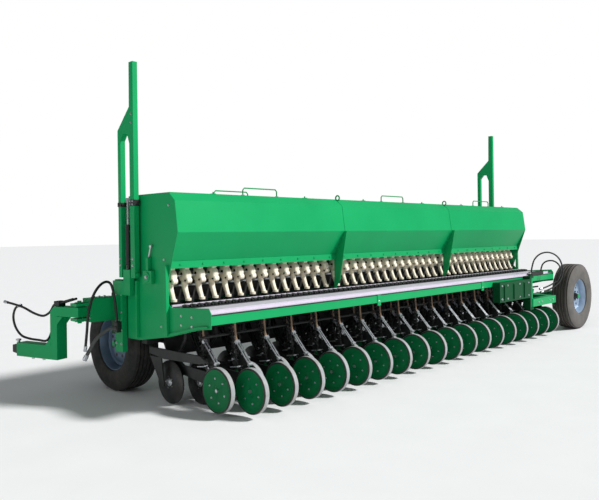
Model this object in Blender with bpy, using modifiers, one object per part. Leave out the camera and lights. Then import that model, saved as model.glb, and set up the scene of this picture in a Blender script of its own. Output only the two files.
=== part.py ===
"""Seed drill with end markers, end-tow drawbar and transport wheel.

Metres, +Z up. +X runs along the hopper to the machine's right, +Y is forward.
Lateral places are measured from the machine's middle, forward places from the
rear press wheels' axle, and heights from the ground.
"""
import bpy
import bmesh
from math import cos, pi, radians, sin
from mathutils import Matrix, Vector

# Driving sizes
GAP = 0.0003                 # between two faces that touch
SHEET = 0.006                # plates and hopper walls
ROW_PITCH = 0.175            # between neighbouring seed rows
ROWS_PER_GANG = 18
HOPPER_SECTION = 2.245       # length of one hopper section
METERS_PER_SECTION = 14
METER_PITCH = 0.158

# Ground-engaging wheels
PRESS_RADIUS = 0.20
PRESS_WIDTH = 0.056
PRESS_LIFT = 0.04            # the press wheels run this much above the disc edges
DISC_RADIUS = 0.21
DISC_WIDTH = 0.036
GANG_AXLE = 0.014
AXLE_HOLE = GANG_AXLE + 0.0015
ARM_OFFSET = PRESS_WIDTH / 2 + 0.014     # an opener arm beside its row's middle
TUBE_OFFSET = ARM_OFFSET + 0.012         # the seed tube on the arm's face
SEED_OUTLET_Y, SEED_OUTLET_Z = 0.70, 0.90
GANG_SIDES = 12
REAR_PRESS_Y = 0.0
AXLE_STEP = DISC_RADIUS + GANG_AXLE + 0.011   # from one gang's axle to the next one ahead
FRONT_PRESS_Y = REAR_PRESS_Y + AXLE_STEP
DISC_AXLE_Z = DISC_RADIUS * cos(pi / GANG_SIDES)
PRESS_AXLE_Z = PRESS_LIFT + PRESS_RADIUS * cos(pi / GANG_SIDES)
DISC_LEAD = 3 * AXLE_STEP    # a disc's axle ahead of its press wheel's axle

# Frame
TRACK_END = 1.5 * HOPPER_SECTION        # half of the hopper's whole length
BEAM_Y0, BEAM_Y1 = 1.05, 1.20
BEAM_Z0, BEAM_Z1 = 0.76, 0.95
TUBE_Y0, TUBE_Y1 = 0.04, 0.10
TUBE_Z0, TUBE_Z1 = 0.83, 0.905
DECK_Y0, DECK_Y1 = 0.115, 0.62
DECK_TOP = 0.94
DECK_DEPTH = 0.028
SIDE_PLATE = 0.036
SUPPORT_STEP = 0.02          # a gusset stands this far outside its hopper joint
SIDE_Y1 = 1.62
POST_Y0, POST_Y1 = 1.335, 1.465
POST_Z0, POST_Z1 = 0.47, 1.16
POST_THICK = 0.05

# Hopper section outline, rear to front (Y, Z)
HOPPER_FLOOR_Z = 1.31
HOPPER_FLOOR_Y0, HOPPER_FLOOR_Y1 = 0.64, 0.98
HOPPER_CREASE_Z = 1.60
HOPPER_CREASE_Y0, HOPPER_CREASE_Y1 = 0.485, 1.36
HOPPER_SHOULDER_Z = 1.88
HOPPER_SHOULDER_Y0, HOPPER_SHOULDER_Y1 = 0.525, 1.34
HOPPER_TOP_Z = 1.95
HOPPER_TOP_Y0, HOPPER_TOP_Y1 = 0.61, 1.27
LID_PLAY = 0.006
LID_HINGE_OUT, LID_HINGE_UP = 0.004, 0.008

# Field wheels
TYRE_RADIUS = 0.4825
TYRE_WIDTH = 0.30
RIM_RADIUS = 0.26
HUB_BORE = 0.03
TYRE_SIDES = 24
TYRE_AXLE_Z = TYRE_RADIUS * cos(pi / TYRE_SIDES)
FIELD_WHEEL_X = 3.13
FIELD_WHEEL_Y = 1.82
ARM_PIVOT_Y, ARM_PIVOT_Z = 1.29, 0.82
ARM_X = 2.84                 # middle of the wheel arm
ARM_WIDTH = 0.09
PIN_PLAY = 0.0009

# End-tow drawbar
HITCH_X, HITCH_Y = -3.745, 1.54
BRACKET_X0 = -3.67
BRACKET_Z0, BRACKET_Z1 = 0.77, 0.99
DRAWBAR_YAW = 16.0           # degrees outward of straight ahead
DRAWBAR_WIDTH = 0.12
ARM_TOP, ARM_BOTTOM = 0.915, 0.825
TONGUE_TOP, TONGUE_BOTTOM = 0.54, 0.41
DROP_START, DROP_END = 0.235, 0.325
TONGUE_END = 0.80

# Markers
MARKER_X = 3.42
MARKER_MAIN_Y0, MARKER_MAIN_Y1 = 1.06, 1.13
MARKER_LEG_Y0, MARKER_LEG_Y1 = 1.285, 1.335
MARKER_HINGE_Z = 1.22
MARKER_TOP = 3.18
MARKER_YOKE = 2.57
MARKER_THICK = 0.05

# Transport wheel
TURN_X, TURN_Y = 2.42, -0.01
TURN_BRACKET_X0 = 1.40
TURN_WHEEL_X, TURN_WHEEL_Y = 3.95, -0.02
TURN_ARM_Z0, TURN_ARM_Z1 = 0.4775, 0.5875
TURN_ARM_JOG_X = 3.16
TURN_ARM_Y = 0.31
TURN_BARREL = 0.04
TURN_TYRE_RADIUS = 0.52
TURN_AXLE_Z = TURN_TYRE_RADIUS * cos(pi / TYRE_SIDES) + 0.005

GREEN = (0.0, 0.235, 0.075, 1.0)
DARK_GREEN = (0.0, 0.10, 0.035, 1.0)
BLACK = (0.012, 0.012, 0.013, 1.0)
RUBBER = (0.02, 0.02, 0.02, 1.0)
SILVER = (0.62, 0.65, 0.70, 1.0)
CREAM = (0.80, 0.62, 0.40, 1.0)
PALE = (0.66, 0.64, 0.74, 1.0)


def clear_scene():
    for old in list(bpy.data.objects):
        bpy.data.objects.remove(old, do_unlink=True)


def material(name, colour, roughness, metallic=0.0):
    made = bpy.data.materials.new(name)
    made.use_nodes = True
    shader = made.node_tree.nodes["Principled BSDF"]
    shader.inputs["Base Color"].default_value = colour
    shader.inputs["Roughness"].default_value = roughness
    shader.inputs["Metallic"].default_value = metallic
    return made


clear_scene()
PARTS = bpy.data.collections.new("seed_drill")
CUTTERS = bpy.data.collections.new("cutters")
bpy.context.scene.collection.children.link(PARTS)
bpy.context.scene.collection.children.link(CUTTERS)
ROOT = bpy.data.objects.new("seed_drill_root", None)
PARTS.objects.link(ROOT)

PAINT = material("green_paint", GREEN, 0.4)
DARK_PAINT = material("dark_green_paint", DARK_GREEN, 0.45)
BLACK_PAINT = material("black_paint", BLACK, 0.5)
TYRE = material("tyre_rubber", RUBBER, 0.85)
RIM = material("rim_silver", SILVER, 0.35, 0.8)
STEEL = material("bright_steel", SILVER, 0.3, 1.0)
PLASTIC = material("cream_plastic", CREAM, 0.5)
DECK = material("galvanised_deck", PALE, 0.5, 0.3)
HOSE = material("hose_rubber", BLACK, 0.6)


def add_object(name, mesh_or_curve, paint=None, cutter=False):
    made = bpy.data.objects.new(name, mesh_or_curve)
    made.parent = ROOT
    if cutter:
        CUTTERS.objects.link(made)
        made.hide_render = True
        made.display_type = "WIRE"
    else:
        PARTS.objects.link(made)
    if paint:
        mesh_or_curve.materials.append(paint)
    return made


def block(name, x0, x1, y0, y1, z0, z1, paint=None, cutter=False):
    """A box between two corners."""
    shape = bmesh.new()
    size = Matrix.Diagonal((x1 - x0, y1 - y0, z1 - z0, 1.0))
    middle = Matrix.Translation(((x0 + x1) / 2, (y0 + y1) / 2, (z0 + z1) / 2))
    bmesh.ops.create_cube(shape, size=1.0, matrix=middle @ size)
    return from_bmesh(name, shape, paint, cutter)


def from_bmesh(name, shape, paint=None, cutter=False):
    mesh = bpy.data.meshes.new(name)
    shape.to_mesh(mesh)
    shape.free()
    return add_object(name, mesh, paint, cutter)


def round_bar(name, start, end, radius, sides, paint=None, cutter=False):
    """A solid cylinder from one point to another, with a flat facing down."""
    start, end = Vector(start), Vector(end)
    along = end - start
    shape = bmesh.new()
    turn = along.to_track_quat("Z", "Y").to_matrix().to_4x4()
    half_side = Matrix.Rotation(pi / sides, 4, "Z")
    place = Matrix.Translation((start + end) / 2) @ turn @ half_side
    bmesh.ops.create_cone(shape, cap_ends=True, segments=sides, radius1=radius,
                          radius2=radius, depth=along.length, matrix=place)
    return from_bmesh(name, shape, paint, cutter)


def flat_curve(points, thickness):
    """A filled 2D outline with a thickness."""
    curve = bpy.data.curves.new("outline", "CURVE")
    curve.dimensions = "2D"
    curve.fill_mode = "BOTH"
    curve.extrude = thickness / 2
    spline = curve.splines.new("POLY")
    spline.points.add(len(points) - 1)
    for point, (across, up) in zip(spline.points, points):
        point.co = (across, up, 0.0, 1.0)
    spline.use_cyclic_u = True
    return curve


def as_mesh(name, curve, place, paint=None, cutter=False):
    """The curve as a welded mesh, put in its place."""
    scratch = bpy.data.objects.new("scratch", curve)
    CUTTERS.objects.link(scratch)
    bpy.context.view_layer.update()
    seen = scratch.evaluated_get(bpy.context.evaluated_depsgraph_get())
    mesh = bpy.data.meshes.new_from_object(seen)
    bpy.data.objects.remove(scratch, do_unlink=True)
    shape = bmesh.new()
    shape.from_mesh(mesh)
    bmesh.ops.remove_doubles(shape, verts=shape.verts, dist=0.00005)
    shape.transform(place)
    mesh.materials.clear()
    shape.to_mesh(mesh)
    shape.free()
    mesh.name = name
    return add_object(name, mesh, paint, cutter)


def side_plate(name, points, x0, x1, paint=None, cutter=False):
    """An outline in the Y-Z plane, as thick as x0 to x1."""
    upright = Matrix(((0, 0, 1, (x0 + x1) / 2), (1, 0, 0, 0), (0, 1, 0, 0), (0, 0, 0, 1)))
    return as_mesh(name, flat_curve(points, x1 - x0), upright, paint, cutter)


def level_plate(name, points, z0, z1, paint=None, cutter=False):
    """An outline in the X-Y plane, as thick as z0 to z1."""
    place = Matrix.Translation((0, 0, (z0 + z1) / 2))
    return as_mesh(name, flat_curve(points, z1 - z0), place, paint, cutter)


def pipe(name, points, radius, paint=None, cutter=False):
    """A round tube through points, with smooth bends between them."""
    curve = bpy.data.curves.new(name, "CURVE")
    curve.dimensions = "3D"
    curve.bevel_depth = radius
    curve.bevel_resolution = 1
    curve.use_fill_caps = True
    smooth = smooth_route([Vector(point) for point in points])
    spline = curve.splines.new("POLY")
    spline.points.add(len(smooth) - 1)
    for point, place in zip(spline.points, smooth):
        point.co = (*place, 1.0)
    return as_mesh(name, curve, Matrix.Identity(4), paint, cutter)


def smooth_route(route, steps=3):
    """Points along a Catmull-Rom curve through the route."""
    ends = [2 * route[0] - route[1]] + route + [2 * route[-1] - route[-2]]
    smooth = []
    for before, here, there, after in zip(ends, ends[1:], ends[2:], ends[3:]):
        for step in range(steps):
            t = step / steps
            smooth.append(0.5 * (2 * here + (there - before) * t
                                 + (2 * before - 5 * here + 4 * there - after) * t * t
                                 + (3 * here - before - 3 * there + after) * t ** 3))
    return smooth + [route[-1]]


def boolean(target, other, operation):
    change = target.modifiers.new(operation.lower(), "BOOLEAN")
    change.operation = operation
    change.object = other
    change.solver = "EXACT"


def join(target, *others):
    for other in others:
        boolean(target, other, "UNION")


def cut(target, *others):
    for other in others:
        boolean(target, other, "DIFFERENCE")


def turned(name, profile, centre, axis, sides, paint, cutter=False):
    """A closed turned solid: the profile gives (place along the axis, radius)."""
    mesh = bpy.data.meshes.new(name)
    edges = [(index, index + 1) for index in range(len(profile) - 1)]
    mesh.from_pydata([(radius, 0.0, along) for along, radius in reversed(profile)], edges, [])
    made = add_object(name, mesh, paint, cutter)
    screw = made.modifiers.new("turn", "SCREW")
    screw.steps = screw.render_steps = sides
    screw.use_merge_vertices = True
    screw.merge_threshold = 0.0001
    made.location = centre
    made.rotation_euler = {"X": (0, pi / 2, 0), "Y": (pi / 2, 0, 0), "Z": (0, 0, 0)}[axis]
    made.rotation_euler.rotate_axis("Z", pi / sides)
    return made


def hinge_at(piece, point):
    """Moves the piece's origin onto its joint's axis."""
    piece.data.transform(Matrix.Translation(-Vector(point)))
    piece.location = point


def centre_on_floor():
    """Puts the middle of the whole box, at its lowest level, on the scene's origin."""
    bpy.context.view_layer.update()
    seen = bpy.context.evaluated_depsgraph_get()
    points = []
    for part in PARTS.objects:
        if part.type == "MESH":
            whole = part.evaluated_get(seen)
            points += [whole.matrix_world @ vertex.co for vertex in whole.data.vertices]
    low = [min(point[axis] for point in points) for axis in range(3)]
    high = [max(point[axis] for point in points) for axis in range(3)]
    ROOT.location = (-(low[0] + high[0]) / 2, -(low[1] + high[1]) / 2, -low[2])


def array(target, count, step):
    rows = target.modifiers.new("rows", "ARRAY")
    rows.count = count
    rows.use_relative_offset = False
    rows.use_constant_offset = True
    rows.constant_offset_displace = (step, 0, 0)


# Hopper ---------------------------------------------------------------------

def hopper_outline(inset=0.0):
    """The hopper's closed section, all round or moved inward by a wall."""
    return [
        (HOPPER_FLOOR_Y0 + inset, HOPPER_FLOOR_Z + inset),
        (HOPPER_FLOOR_Y1 - inset, HOPPER_FLOOR_Z + inset),
        (HOPPER_CREASE_Y1 - inset, HOPPER_CREASE_Z),
        (HOPPER_SHOULDER_Y1 - inset, HOPPER_SHOULDER_Z),
        (HOPPER_TOP_Y1 - inset, HOPPER_TOP_Z),
        (HOPPER_TOP_Y0 + inset, HOPPER_TOP_Z),
        (HOPPER_SHOULDER_Y0 + inset, HOPPER_SHOULDER_Z),
        (HOPPER_CREASE_Y0 + inset, HOPPER_CREASE_Z),
    ]


def hopper_section(name, x0, x1):
    shell = side_plate(name, hopper_outline(), x0 + GAP, x1 - GAP, PAINT)
    hollow = side_plate(name + "_hollow", hopper_outline(SHEET), x0 + SHEET, x1 - SHEET,
                        cutter=True)
    mouth = block(name + "_mouth", x0 + SHEET, x1 - SHEET, HOPPER_TOP_Y0 + SHEET,
                  HOPPER_TOP_Y1 - SHEET, HOPPER_TOP_Z - 2 * SHEET, HOPPER_TOP_Z + SHEET,
                  cutter=True)
    cut(shell, hollow, mouth)


def lid(name, x0, x1, with_front_handle):
    """A flat cover hinged at its front edge, with a grab rail at its rear edge."""
    z0 = HOPPER_TOP_Z + GAP
    z1 = z0 + SHEET
    panel = block(name, x0 + LID_PLAY, x1 - LID_PLAY, HOPPER_TOP_Y0, HOPPER_TOP_Y1, z0, z1,
                  PAINT)
    middle = (x0 + x1) / 2
    lines = [HOPPER_TOP_Y0 + 0.05]
    if with_front_handle:
        lines.append(HOPPER_TOP_Y1 - 0.16)
    for number, y in enumerate(lines):
        half, rise, corner = 0.23, 0.075, 0.02
        rail = [(middle - half, y, z1 - 0.003), (middle - half, y, z1 + rise - corner),
                (middle - half + corner, y, z1 + rise), (middle + half - corner, y, z1 + rise),
                (middle + half, y, z1 + rise - corner), (middle + half, y, z1 - 0.003)]
        join(panel, straight_pipe(f"{name}_rail_{number}", rail, 0.007))
    hinge_at(panel, (middle, HOPPER_TOP_Y1 + LID_HINGE_OUT, HOPPER_TOP_Z + LID_HINGE_UP))


def straight_pipe(name, points, radius, paint=None, cutter=True):
    """A round tube through points with no smoothing."""
    curve = bpy.data.curves.new(name, "CURVE")
    curve.dimensions = "3D"
    curve.bevel_depth = radius
    curve.bevel_resolution = 1
    curve.use_fill_caps = True
    spline = curve.splines.new("POLY")
    spline.points.add(len(points) - 1)
    for point, place in zip(spline.points, points):
        point.co = (*place, 1.0)
    return as_mesh(name, curve, Matrix.Identity(4), paint, cutter)


def meter_bank(name, middle):
    """Seed meters under one hopper section, on the strip that carries them."""
    strip_z = HOPPER_FLOOR_Z - GAP
    half = METER_PITCH * (METERS_PER_SECTION - 1) / 2
    strip = block(name, middle - half - 0.05, middle + half + 0.05, HOPPER_FLOOR_Y0 + 0.02,
                  HOPPER_FLOOR_Y1 - 0.10, strip_z - 0.02, strip_z, PLASTIC)
    y = HOPPER_FLOOR_Y0 + 0.12
    body = [
        (y + 0.05, strip_z - 0.01), (y - 0.045, strip_z - 0.01), (y - 0.075, strip_z - 0.07),
        (y - 0.06, strip_z - 0.14), (y - 0.01, strip_z - 0.19), (y - 0.03, strip_z - 0.25),
        (y - 0.075, strip_z - 0.32), (y - 0.025, strip_z - 0.34), (y + 0.02, strip_z - 0.27),
        (y + 0.045, strip_z - 0.18), (y + 0.075, strip_z - 0.12),
    ]
    x = middle - half
    housing = side_plate(name + "_housing", body, x - 0.035, x + 0.035, cutter=True)
    array(housing, METERS_PER_SECTION, METER_PITCH)
    join(strip, housing)


def hopper():
    names = ("left", "middle", "right")
    for index, side in enumerate(names):
        x0 = -TRACK_END + index * HOPPER_SECTION
        x1 = x0 + HOPPER_SECTION
        hopper_section(f"hopper_{side}", x0, x1)
        lid(f"lid_{side}", x0, x1, side == "left")
        meter_bank(f"seed_meters_{side}", (x0 + x1) / 2)


# Frame ----------------------------------------------------------------------

def end_plate(name, side):
    """The tall side plate that carries the hopper's end, the deck and the rear tube."""
    inner = side * (TRACK_END + GAP)
    outer = side * (TRACK_END + SHEET)
    outline = [
        (HOPPER_TOP_Y1, HOPPER_TOP_Z), (HOPPER_TOP_Y0, HOPPER_TOP_Z),
        (HOPPER_SHOULDER_Y0, HOPPER_SHOULDER_Z), (HOPPER_CREASE_Y0, HOPPER_CREASE_Z),
        (HOPPER_FLOOR_Y0 + 0.055, DECK_TOP + 0.085), (0.60, DECK_TOP),
        (TUBE_Y0 + 0.03, DECK_TOP + 0.03), (TUBE_Y0, DECK_TOP - 0.01),
        (TUBE_Y0, 0.80), (0.20, 0.78), (0.63, 0.68), (1.11, 0.605),
        (POST_Y0 - 0.03, 0.605), (POST_Y0 - 0.03, 1.50),
    ]
    side_plate(name, outline, min(inner, outer), max(inner, outer), PAINT)


def inner_support(name, x):
    """A gusset under a hopper joint, from the crease down to the deck's edge."""
    outline = [
        (HOPPER_CREASE_Y0 - 0.035, HOPPER_CREASE_Z), (HOPPER_CREASE_Y0 - GAP, HOPPER_CREASE_Z),
        (HOPPER_FLOOR_Y0 - GAP, HOPPER_FLOOR_Z), (HOPPER_FLOOR_Y0 - GAP, DECK_TOP + 0.15),
        (HOPPER_FLOOR_Y0 + 0.01, DECK_TOP - 0.05), (BEAM_Y0 - GAP, DECK_TOP - 0.05),
        (BEAM_Y0 - GAP, 0.80), (0.66, 0.80), (0.634, DECK_TOP),
        (0.56, DECK_TOP + 0.12),
    ]
    side_plate(name, outline, x - 0.004, x + 0.004, PAINT)


def front_beam():
    half = TRACK_END - GAP
    beam = block("front_beam", -half, half, BEAM_Y0, BEAM_Y1, BEAM_Z0, BEAM_Z1, PAINT)
    for side in (-1, 1):
        for edge in (-1, 1):
            x = side * ARM_X + edge * (ARM_WIDTH / 2 + 0.008 + 0.012)
            lug = side_plate("wheel_arm_lug", [
                (BEAM_Y1 - 0.02, ARM_PIVOT_Z - 0.05), (ARM_PIVOT_Y + 0.01, ARM_PIVOT_Z - 0.05),
                (ARM_PIVOT_Y + 0.05, ARM_PIVOT_Z), (ARM_PIVOT_Y + 0.01, ARM_PIVOT_Z + 0.05),
                (BEAM_Y1 - 0.02, ARM_PIVOT_Z + 0.10)], x - 0.012, x + 0.012, cutter=True)
            join(beam, lug)
        pin = round_bar("wheel_arm_pin", (side * ARM_X - 0.06, ARM_PIVOT_Y, ARM_PIVOT_Z),
                        (side * ARM_X + 0.06, ARM_PIVOT_Y, ARM_PIVOT_Z), 0.022, 12, cutter=True)
        join(beam, pin)


def rear_tube():
    half = TRACK_END - GAP
    block("rear_tube", -half, half, TUBE_Y0, TUBE_Y1, TUBE_Z0, TUBE_Z1, PAINT)


def deck():
    half = TRACK_END - GAP
    z0 = DECK_TOP - DECK_DEPTH
    sheet = block("platform", -half, half, DECK_Y0, DECK_Y1, z0, DECK_TOP, DECK)
    foot = block("platform_foot", -half, half, TUBE_Y0 + 0.01, DECK_Y0 + 0.01, TUBE_Z1 + GAP,
                 TUBE_Z1 + GAP + 0.012, cutter=True)
    join(sheet, foot)
    for row in (-15, -5, 5, 15):
        x = (row + 0.5) * ROW_PITCH + TUBE_OFFSET      # midway between two seed tubes
        bearer = block("platform_bearer", x - 0.02, x + 0.02, TUBE_Y1 + GAP, BEAM_Y0 - GAP,
                       z0 - 0.06, z0 + 0.004, cutter=True)
        join(sheet, bearer)


def ends():
    for side, word in ((-1, "left"), (1, "right")):
        end_plate(f"{word}_end_plate", side)
        x_in = side * (TRACK_END - GAP - SIDE_PLATE)
        x_out = side * (TRACK_END - GAP)
        block(f"{word}_side_rail", min(x_in, x_out), max(x_in, x_out), BEAM_Y1 + GAP, SIDE_Y1,
              0.62, 1.02, DARK_PAINT)
        marker_post(word, side)
        inner_support(f"{word}_inner_support", side * (HOPPER_SECTION / 2 + SUPPORT_STEP))


def marker_post(word, side):
    """The upright that carries a marker, with its hinge lug and cylinder foot."""
    x_in = side * (TRACK_END + GAP)
    x_out = side * (TRACK_END + POST_THICK)
    post = block(f"{word}_marker_post", min(x_in, x_out), max(x_in, x_out), POST_Y0, POST_Y1,
                 POST_Z0, POST_Z1, PAINT)
    x0 = side * (TRACK_END + POST_THICK - 0.02)
    x1 = side * (MARKER_X + 0.025)
    shelf_z = POST_Z1 - 0.01
    lug_y0, lug_y1 = MARKER_MAIN_Y1 + 0.02, MARKER_LEG_Y0 - 0.02
    lug = side_plate(f"{word}_post_lug", [
        (lug_y0, POST_Z1 - 0.14), (POST_Y1 - 0.01, POST_Z1 - 0.14), (POST_Y1 - 0.01, shelf_z),
        (lug_y1, shelf_z), (lug_y1, MARKER_HINGE_Z + 0.04), (lug_y0, MARKER_HINGE_Z + 0.04)],
        min(x0, x1), max(x0, x1), cutter=True)
    pin = round_bar(f"{word}_hinge_pin",
                    (side * MARKER_X, MARKER_MAIN_Y0 - 0.02, MARKER_HINGE_Z),
                    (side * MARKER_X, MARKER_LEG_Y1 + 0.02, MARKER_HINGE_Z), 0.014, 10,
                    cutter=True)
    join(post, lug, pin)
    marker(word, side)
    marker_cylinder(word, side)


def marker(word, side):
    """A folding marker: a tall main beam and a shorter leg, yoked together."""
    x0, x1 = side * MARKER_X - MARKER_THICK / 2, side * MARKER_X + MARKER_THICK / 2
    foot = MARKER_HINGE_Z - 0.035
    y = (MARKER_MAIN_Y0 + MARKER_MAIN_Y1) / 2
    leg_y = (MARKER_LEG_Y0 + MARKER_LEG_Y1) / 2
    outline = [
        (MARKER_MAIN_Y0, foot), (MARKER_MAIN_Y1, foot), (MARKER_MAIN_Y1, MARKER_YOKE - 0.14),
        (y + 0.075, MARKER_YOKE - 0.04), (leg_y - 0.075, MARKER_YOKE - 0.04),
        (MARKER_LEG_Y0, MARKER_YOKE - 0.10), (MARKER_LEG_Y0, foot), (MARKER_LEG_Y1, foot),
        (MARKER_LEG_Y1, MARKER_YOKE), (MARKER_MAIN_Y1, MARKER_YOKE + 0.20),
        (MARKER_MAIN_Y1 - 0.005, MARKER_TOP), (MARKER_MAIN_Y0, MARKER_TOP),
    ]
    arm = side_plate(f"{word}_marker", outline, x0, x1, PAINT)
    bore = round_bar(f"{word}_marker_bore", (side * MARKER_X, MARKER_MAIN_Y0 - 0.1, MARKER_HINGE_Z),
                     (side * MARKER_X, MARKER_LEG_Y1 + 0.1, MARKER_HINGE_Z), 0.014 + PIN_PLAY, 10,
                     cutter=True)
    cut(arm, bore)
    hinge_at(arm, (side * MARKER_X, leg_y, MARKER_HINGE_Z))


def marker_cylinder(word, side):
    """The lift cylinder that stands on the post's lug, its rod up."""
    y = (MARKER_MAIN_Y1 + MARKER_LEG_Y0) / 2
    x = side * MARKER_X
    foot = MARKER_HINGE_Z + 0.04 + GAP
    turned(f"{word}_marker_cylinder",
           [(0.0, 0.0), (0.0, 0.02), (0.05, 0.02), (0.05, 0.028), (0.42, 0.028), (0.42, 0.012),
            (0.62, 0.012), (0.62, 0.022), (0.67, 0.022), (0.67, 0.0)],
           (x, y, foot), "Z", 12, STEEL)


# Openers --------------------------------------------------------------------

def gang(name, radius, width, rim_width, y, z, first_x, paint):
    """All like wheels of one row on one axle."""
    profile = [(first_x - 0.07, 0.0), (first_x - 0.07, GANG_AXLE)]
    for row in range(ROWS_PER_GANG):
        x = first_x + row * 2 * ROW_PITCH
        edge = {x - rim_width / 2, x + rim_width / 2}
        profile.append((x - width / 2, GANG_AXLE))
        profile += [(place, radius) for place in sorted(edge)]
        profile.append((x + width / 2, GANG_AXLE))
    last_x = first_x + (ROWS_PER_GANG - 1) * 2 * ROW_PITCH
    profile += [(last_x + 0.07, GANG_AXLE), (last_x + 0.07, 0.0)]
    turned(name, profile, (0, y, z), "X", GANG_SIDES, paint)


def opener_bank(name, press_y, first_x, bar_y, bar_z0, hanger_shift):
    """The toolbar, the opener arms and the seed tubes of one row."""
    disc_y = press_y + DISC_LEAD
    press_z, disc_z = PRESS_AXLE_Z, DISC_AXLE_Z
    bar_z1 = bar_z0 + 0.08
    half = TRACK_END - 0.05
    bar = block(name, -half, half, bar_y - 0.04, bar_y + 0.04, bar_z0, bar_z1, BLACK_PAINT)
    x = first_x + ARM_OFFSET
    arm = side_plate(name + "_arm", [
        (press_y - 0.035, press_z - 0.035), (press_y + 0.035, press_z - 0.05),
        (disc_y - 0.05, disc_z - 0.045), (disc_y + 0.05, disc_z - 0.045),
        (disc_y + 0.10, 0.36), (bar_y, bar_z0 + 0.01), (bar_y, bar_z1 - 0.01),
        (disc_y + 0.02, 0.46), (disc_y - 0.12, 0.36), (press_y - 0.02, press_z + 0.045)],
        x - 0.006, x + 0.006, cutter=True)
    axles = [(press_y, press_z), (disc_y, disc_z)]
    if press_y < FRONT_PRESS_Y:
        axles.append((FRONT_PRESS_Y, press_z))
    else:
        axles.append((REAR_PRESS_Y + DISC_LEAD, disc_z))
    for y, z in axles:
        cut(arm, round_bar(name + "_axle_hole", (x - 0.05, y, z), (x + 0.05, y, z),
                           AXLE_HOLE, 8, cutter=True))
    x = first_x + TUBE_OFFSET
    tube = round_bar(name + "_tube", (x, disc_y + 0.03, 0.40), (x, SEED_OUTLET_Y, SEED_OUTLET_Z),
                     0.017, 6, cutter=True)
    join(arm, tube)
    array(arm, ROWS_PER_GANG, 2 * ROW_PITCH)
    join(bar, arm)
    hanger_top = BEAM_Z0 - GAP
    for number in range(-2, 3):
        across = number * 0.55 * HOPPER_SECTION + hanger_shift
        hanger = side_plate(name + "_hanger", [
            (bar_y - 0.03, bar_z0 + 0.02), (bar_y + 0.03, bar_z0 + 0.02),
            (BEAM_Y0 + 0.12, hanger_top), (BEAM_Y0 + 0.02, hanger_top)],
            across - 0.02, across + 0.02, cutter=True)
        join(bar, hanger)


def openers():
    front_x = -ROW_PITCH * ROWS_PER_GANG
    rear_x = front_x + ROW_PITCH
    for word, y, x in (("front", FRONT_PRESS_Y, front_x), ("rear", REAR_PRESS_Y, rear_x)):
        gang(f"{word}_press_wheels", PRESS_RADIUS, PRESS_WIDTH, PRESS_WIDTH, y, PRESS_AXLE_Z, x,
             DARK_PAINT)
        gang(f"{word}_opener_discs", DISC_RADIUS, DISC_WIDTH, 0.0, y + DISC_LEAD, DISC_AXLE_Z, x,
             BLACK_PAINT)
    opener_bank("front_openers", FRONT_PRESS_Y, front_x, 1.12, 0.56, 0.0)
    opener_bank("rear_openers", REAR_PRESS_Y, rear_x, 0.94, 0.65, 0.20)


# Wheels ---------------------------------------------------------------------

def road_wheel(word, centre, axis, radius=TYRE_RADIUS):
    """A tyre and its rim, turning on a stub axle."""
    half = TYRE_WIDTH / 2
    bead = RIM_RADIUS + 0.004
    turned_ring(f"{word}_tyre", [
        (-half * 0.72, bead), (-half, bead + 0.06), (-half, radius - 0.07),
        (-half * 0.72, radius), (half * 0.72, radius), (half, radius - 0.07),
        (half, bead + 0.06), (half * 0.72, bead)], centre, axis, TYRE)
    seat = RIM_RADIUS + 0.0035
    dish = 0.02
    turned_ring(f"{word}_rim", [
        (-half * 0.70, seat - 0.03), (-half * 0.70, seat), (half * 0.70, seat),
        (half * 0.70, seat - 0.03), (0.03, seat - 0.06), (0.03, 0.08), (0.09, 0.075),
        (0.09, HUB_BORE), (-0.09, HUB_BORE), (-0.09, 0.075), (dish - 0.03, 0.08),
        (dish - 0.03, seat - 0.06)], centre, axis, RIM)


def turned_ring(name, profile, centre, axis, paint):
    """A ring turned from a closed profile."""
    mesh = bpy.data.meshes.new(name)
    count = len(profile)
    edges = [(index, (index + 1) % count) for index in range(count)]
    mesh.from_pydata([(radius, 0.0, along) for along, radius in reversed(profile)], edges, [])
    made = add_object(name, mesh, paint)
    screw = made.modifiers.new("turn", "SCREW")
    screw.steps = screw.render_steps = TYRE_SIDES
    screw.use_merge_vertices = True
    screw.merge_threshold = 0.0001
    made.location = centre
    made.rotation_euler = {"X": (0, pi / 2, 0), "Y": (pi / 2, 0, 0)}[axis]
    made.rotation_euler.rotate_axis("Z", pi / TYRE_SIDES)
    return made


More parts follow.
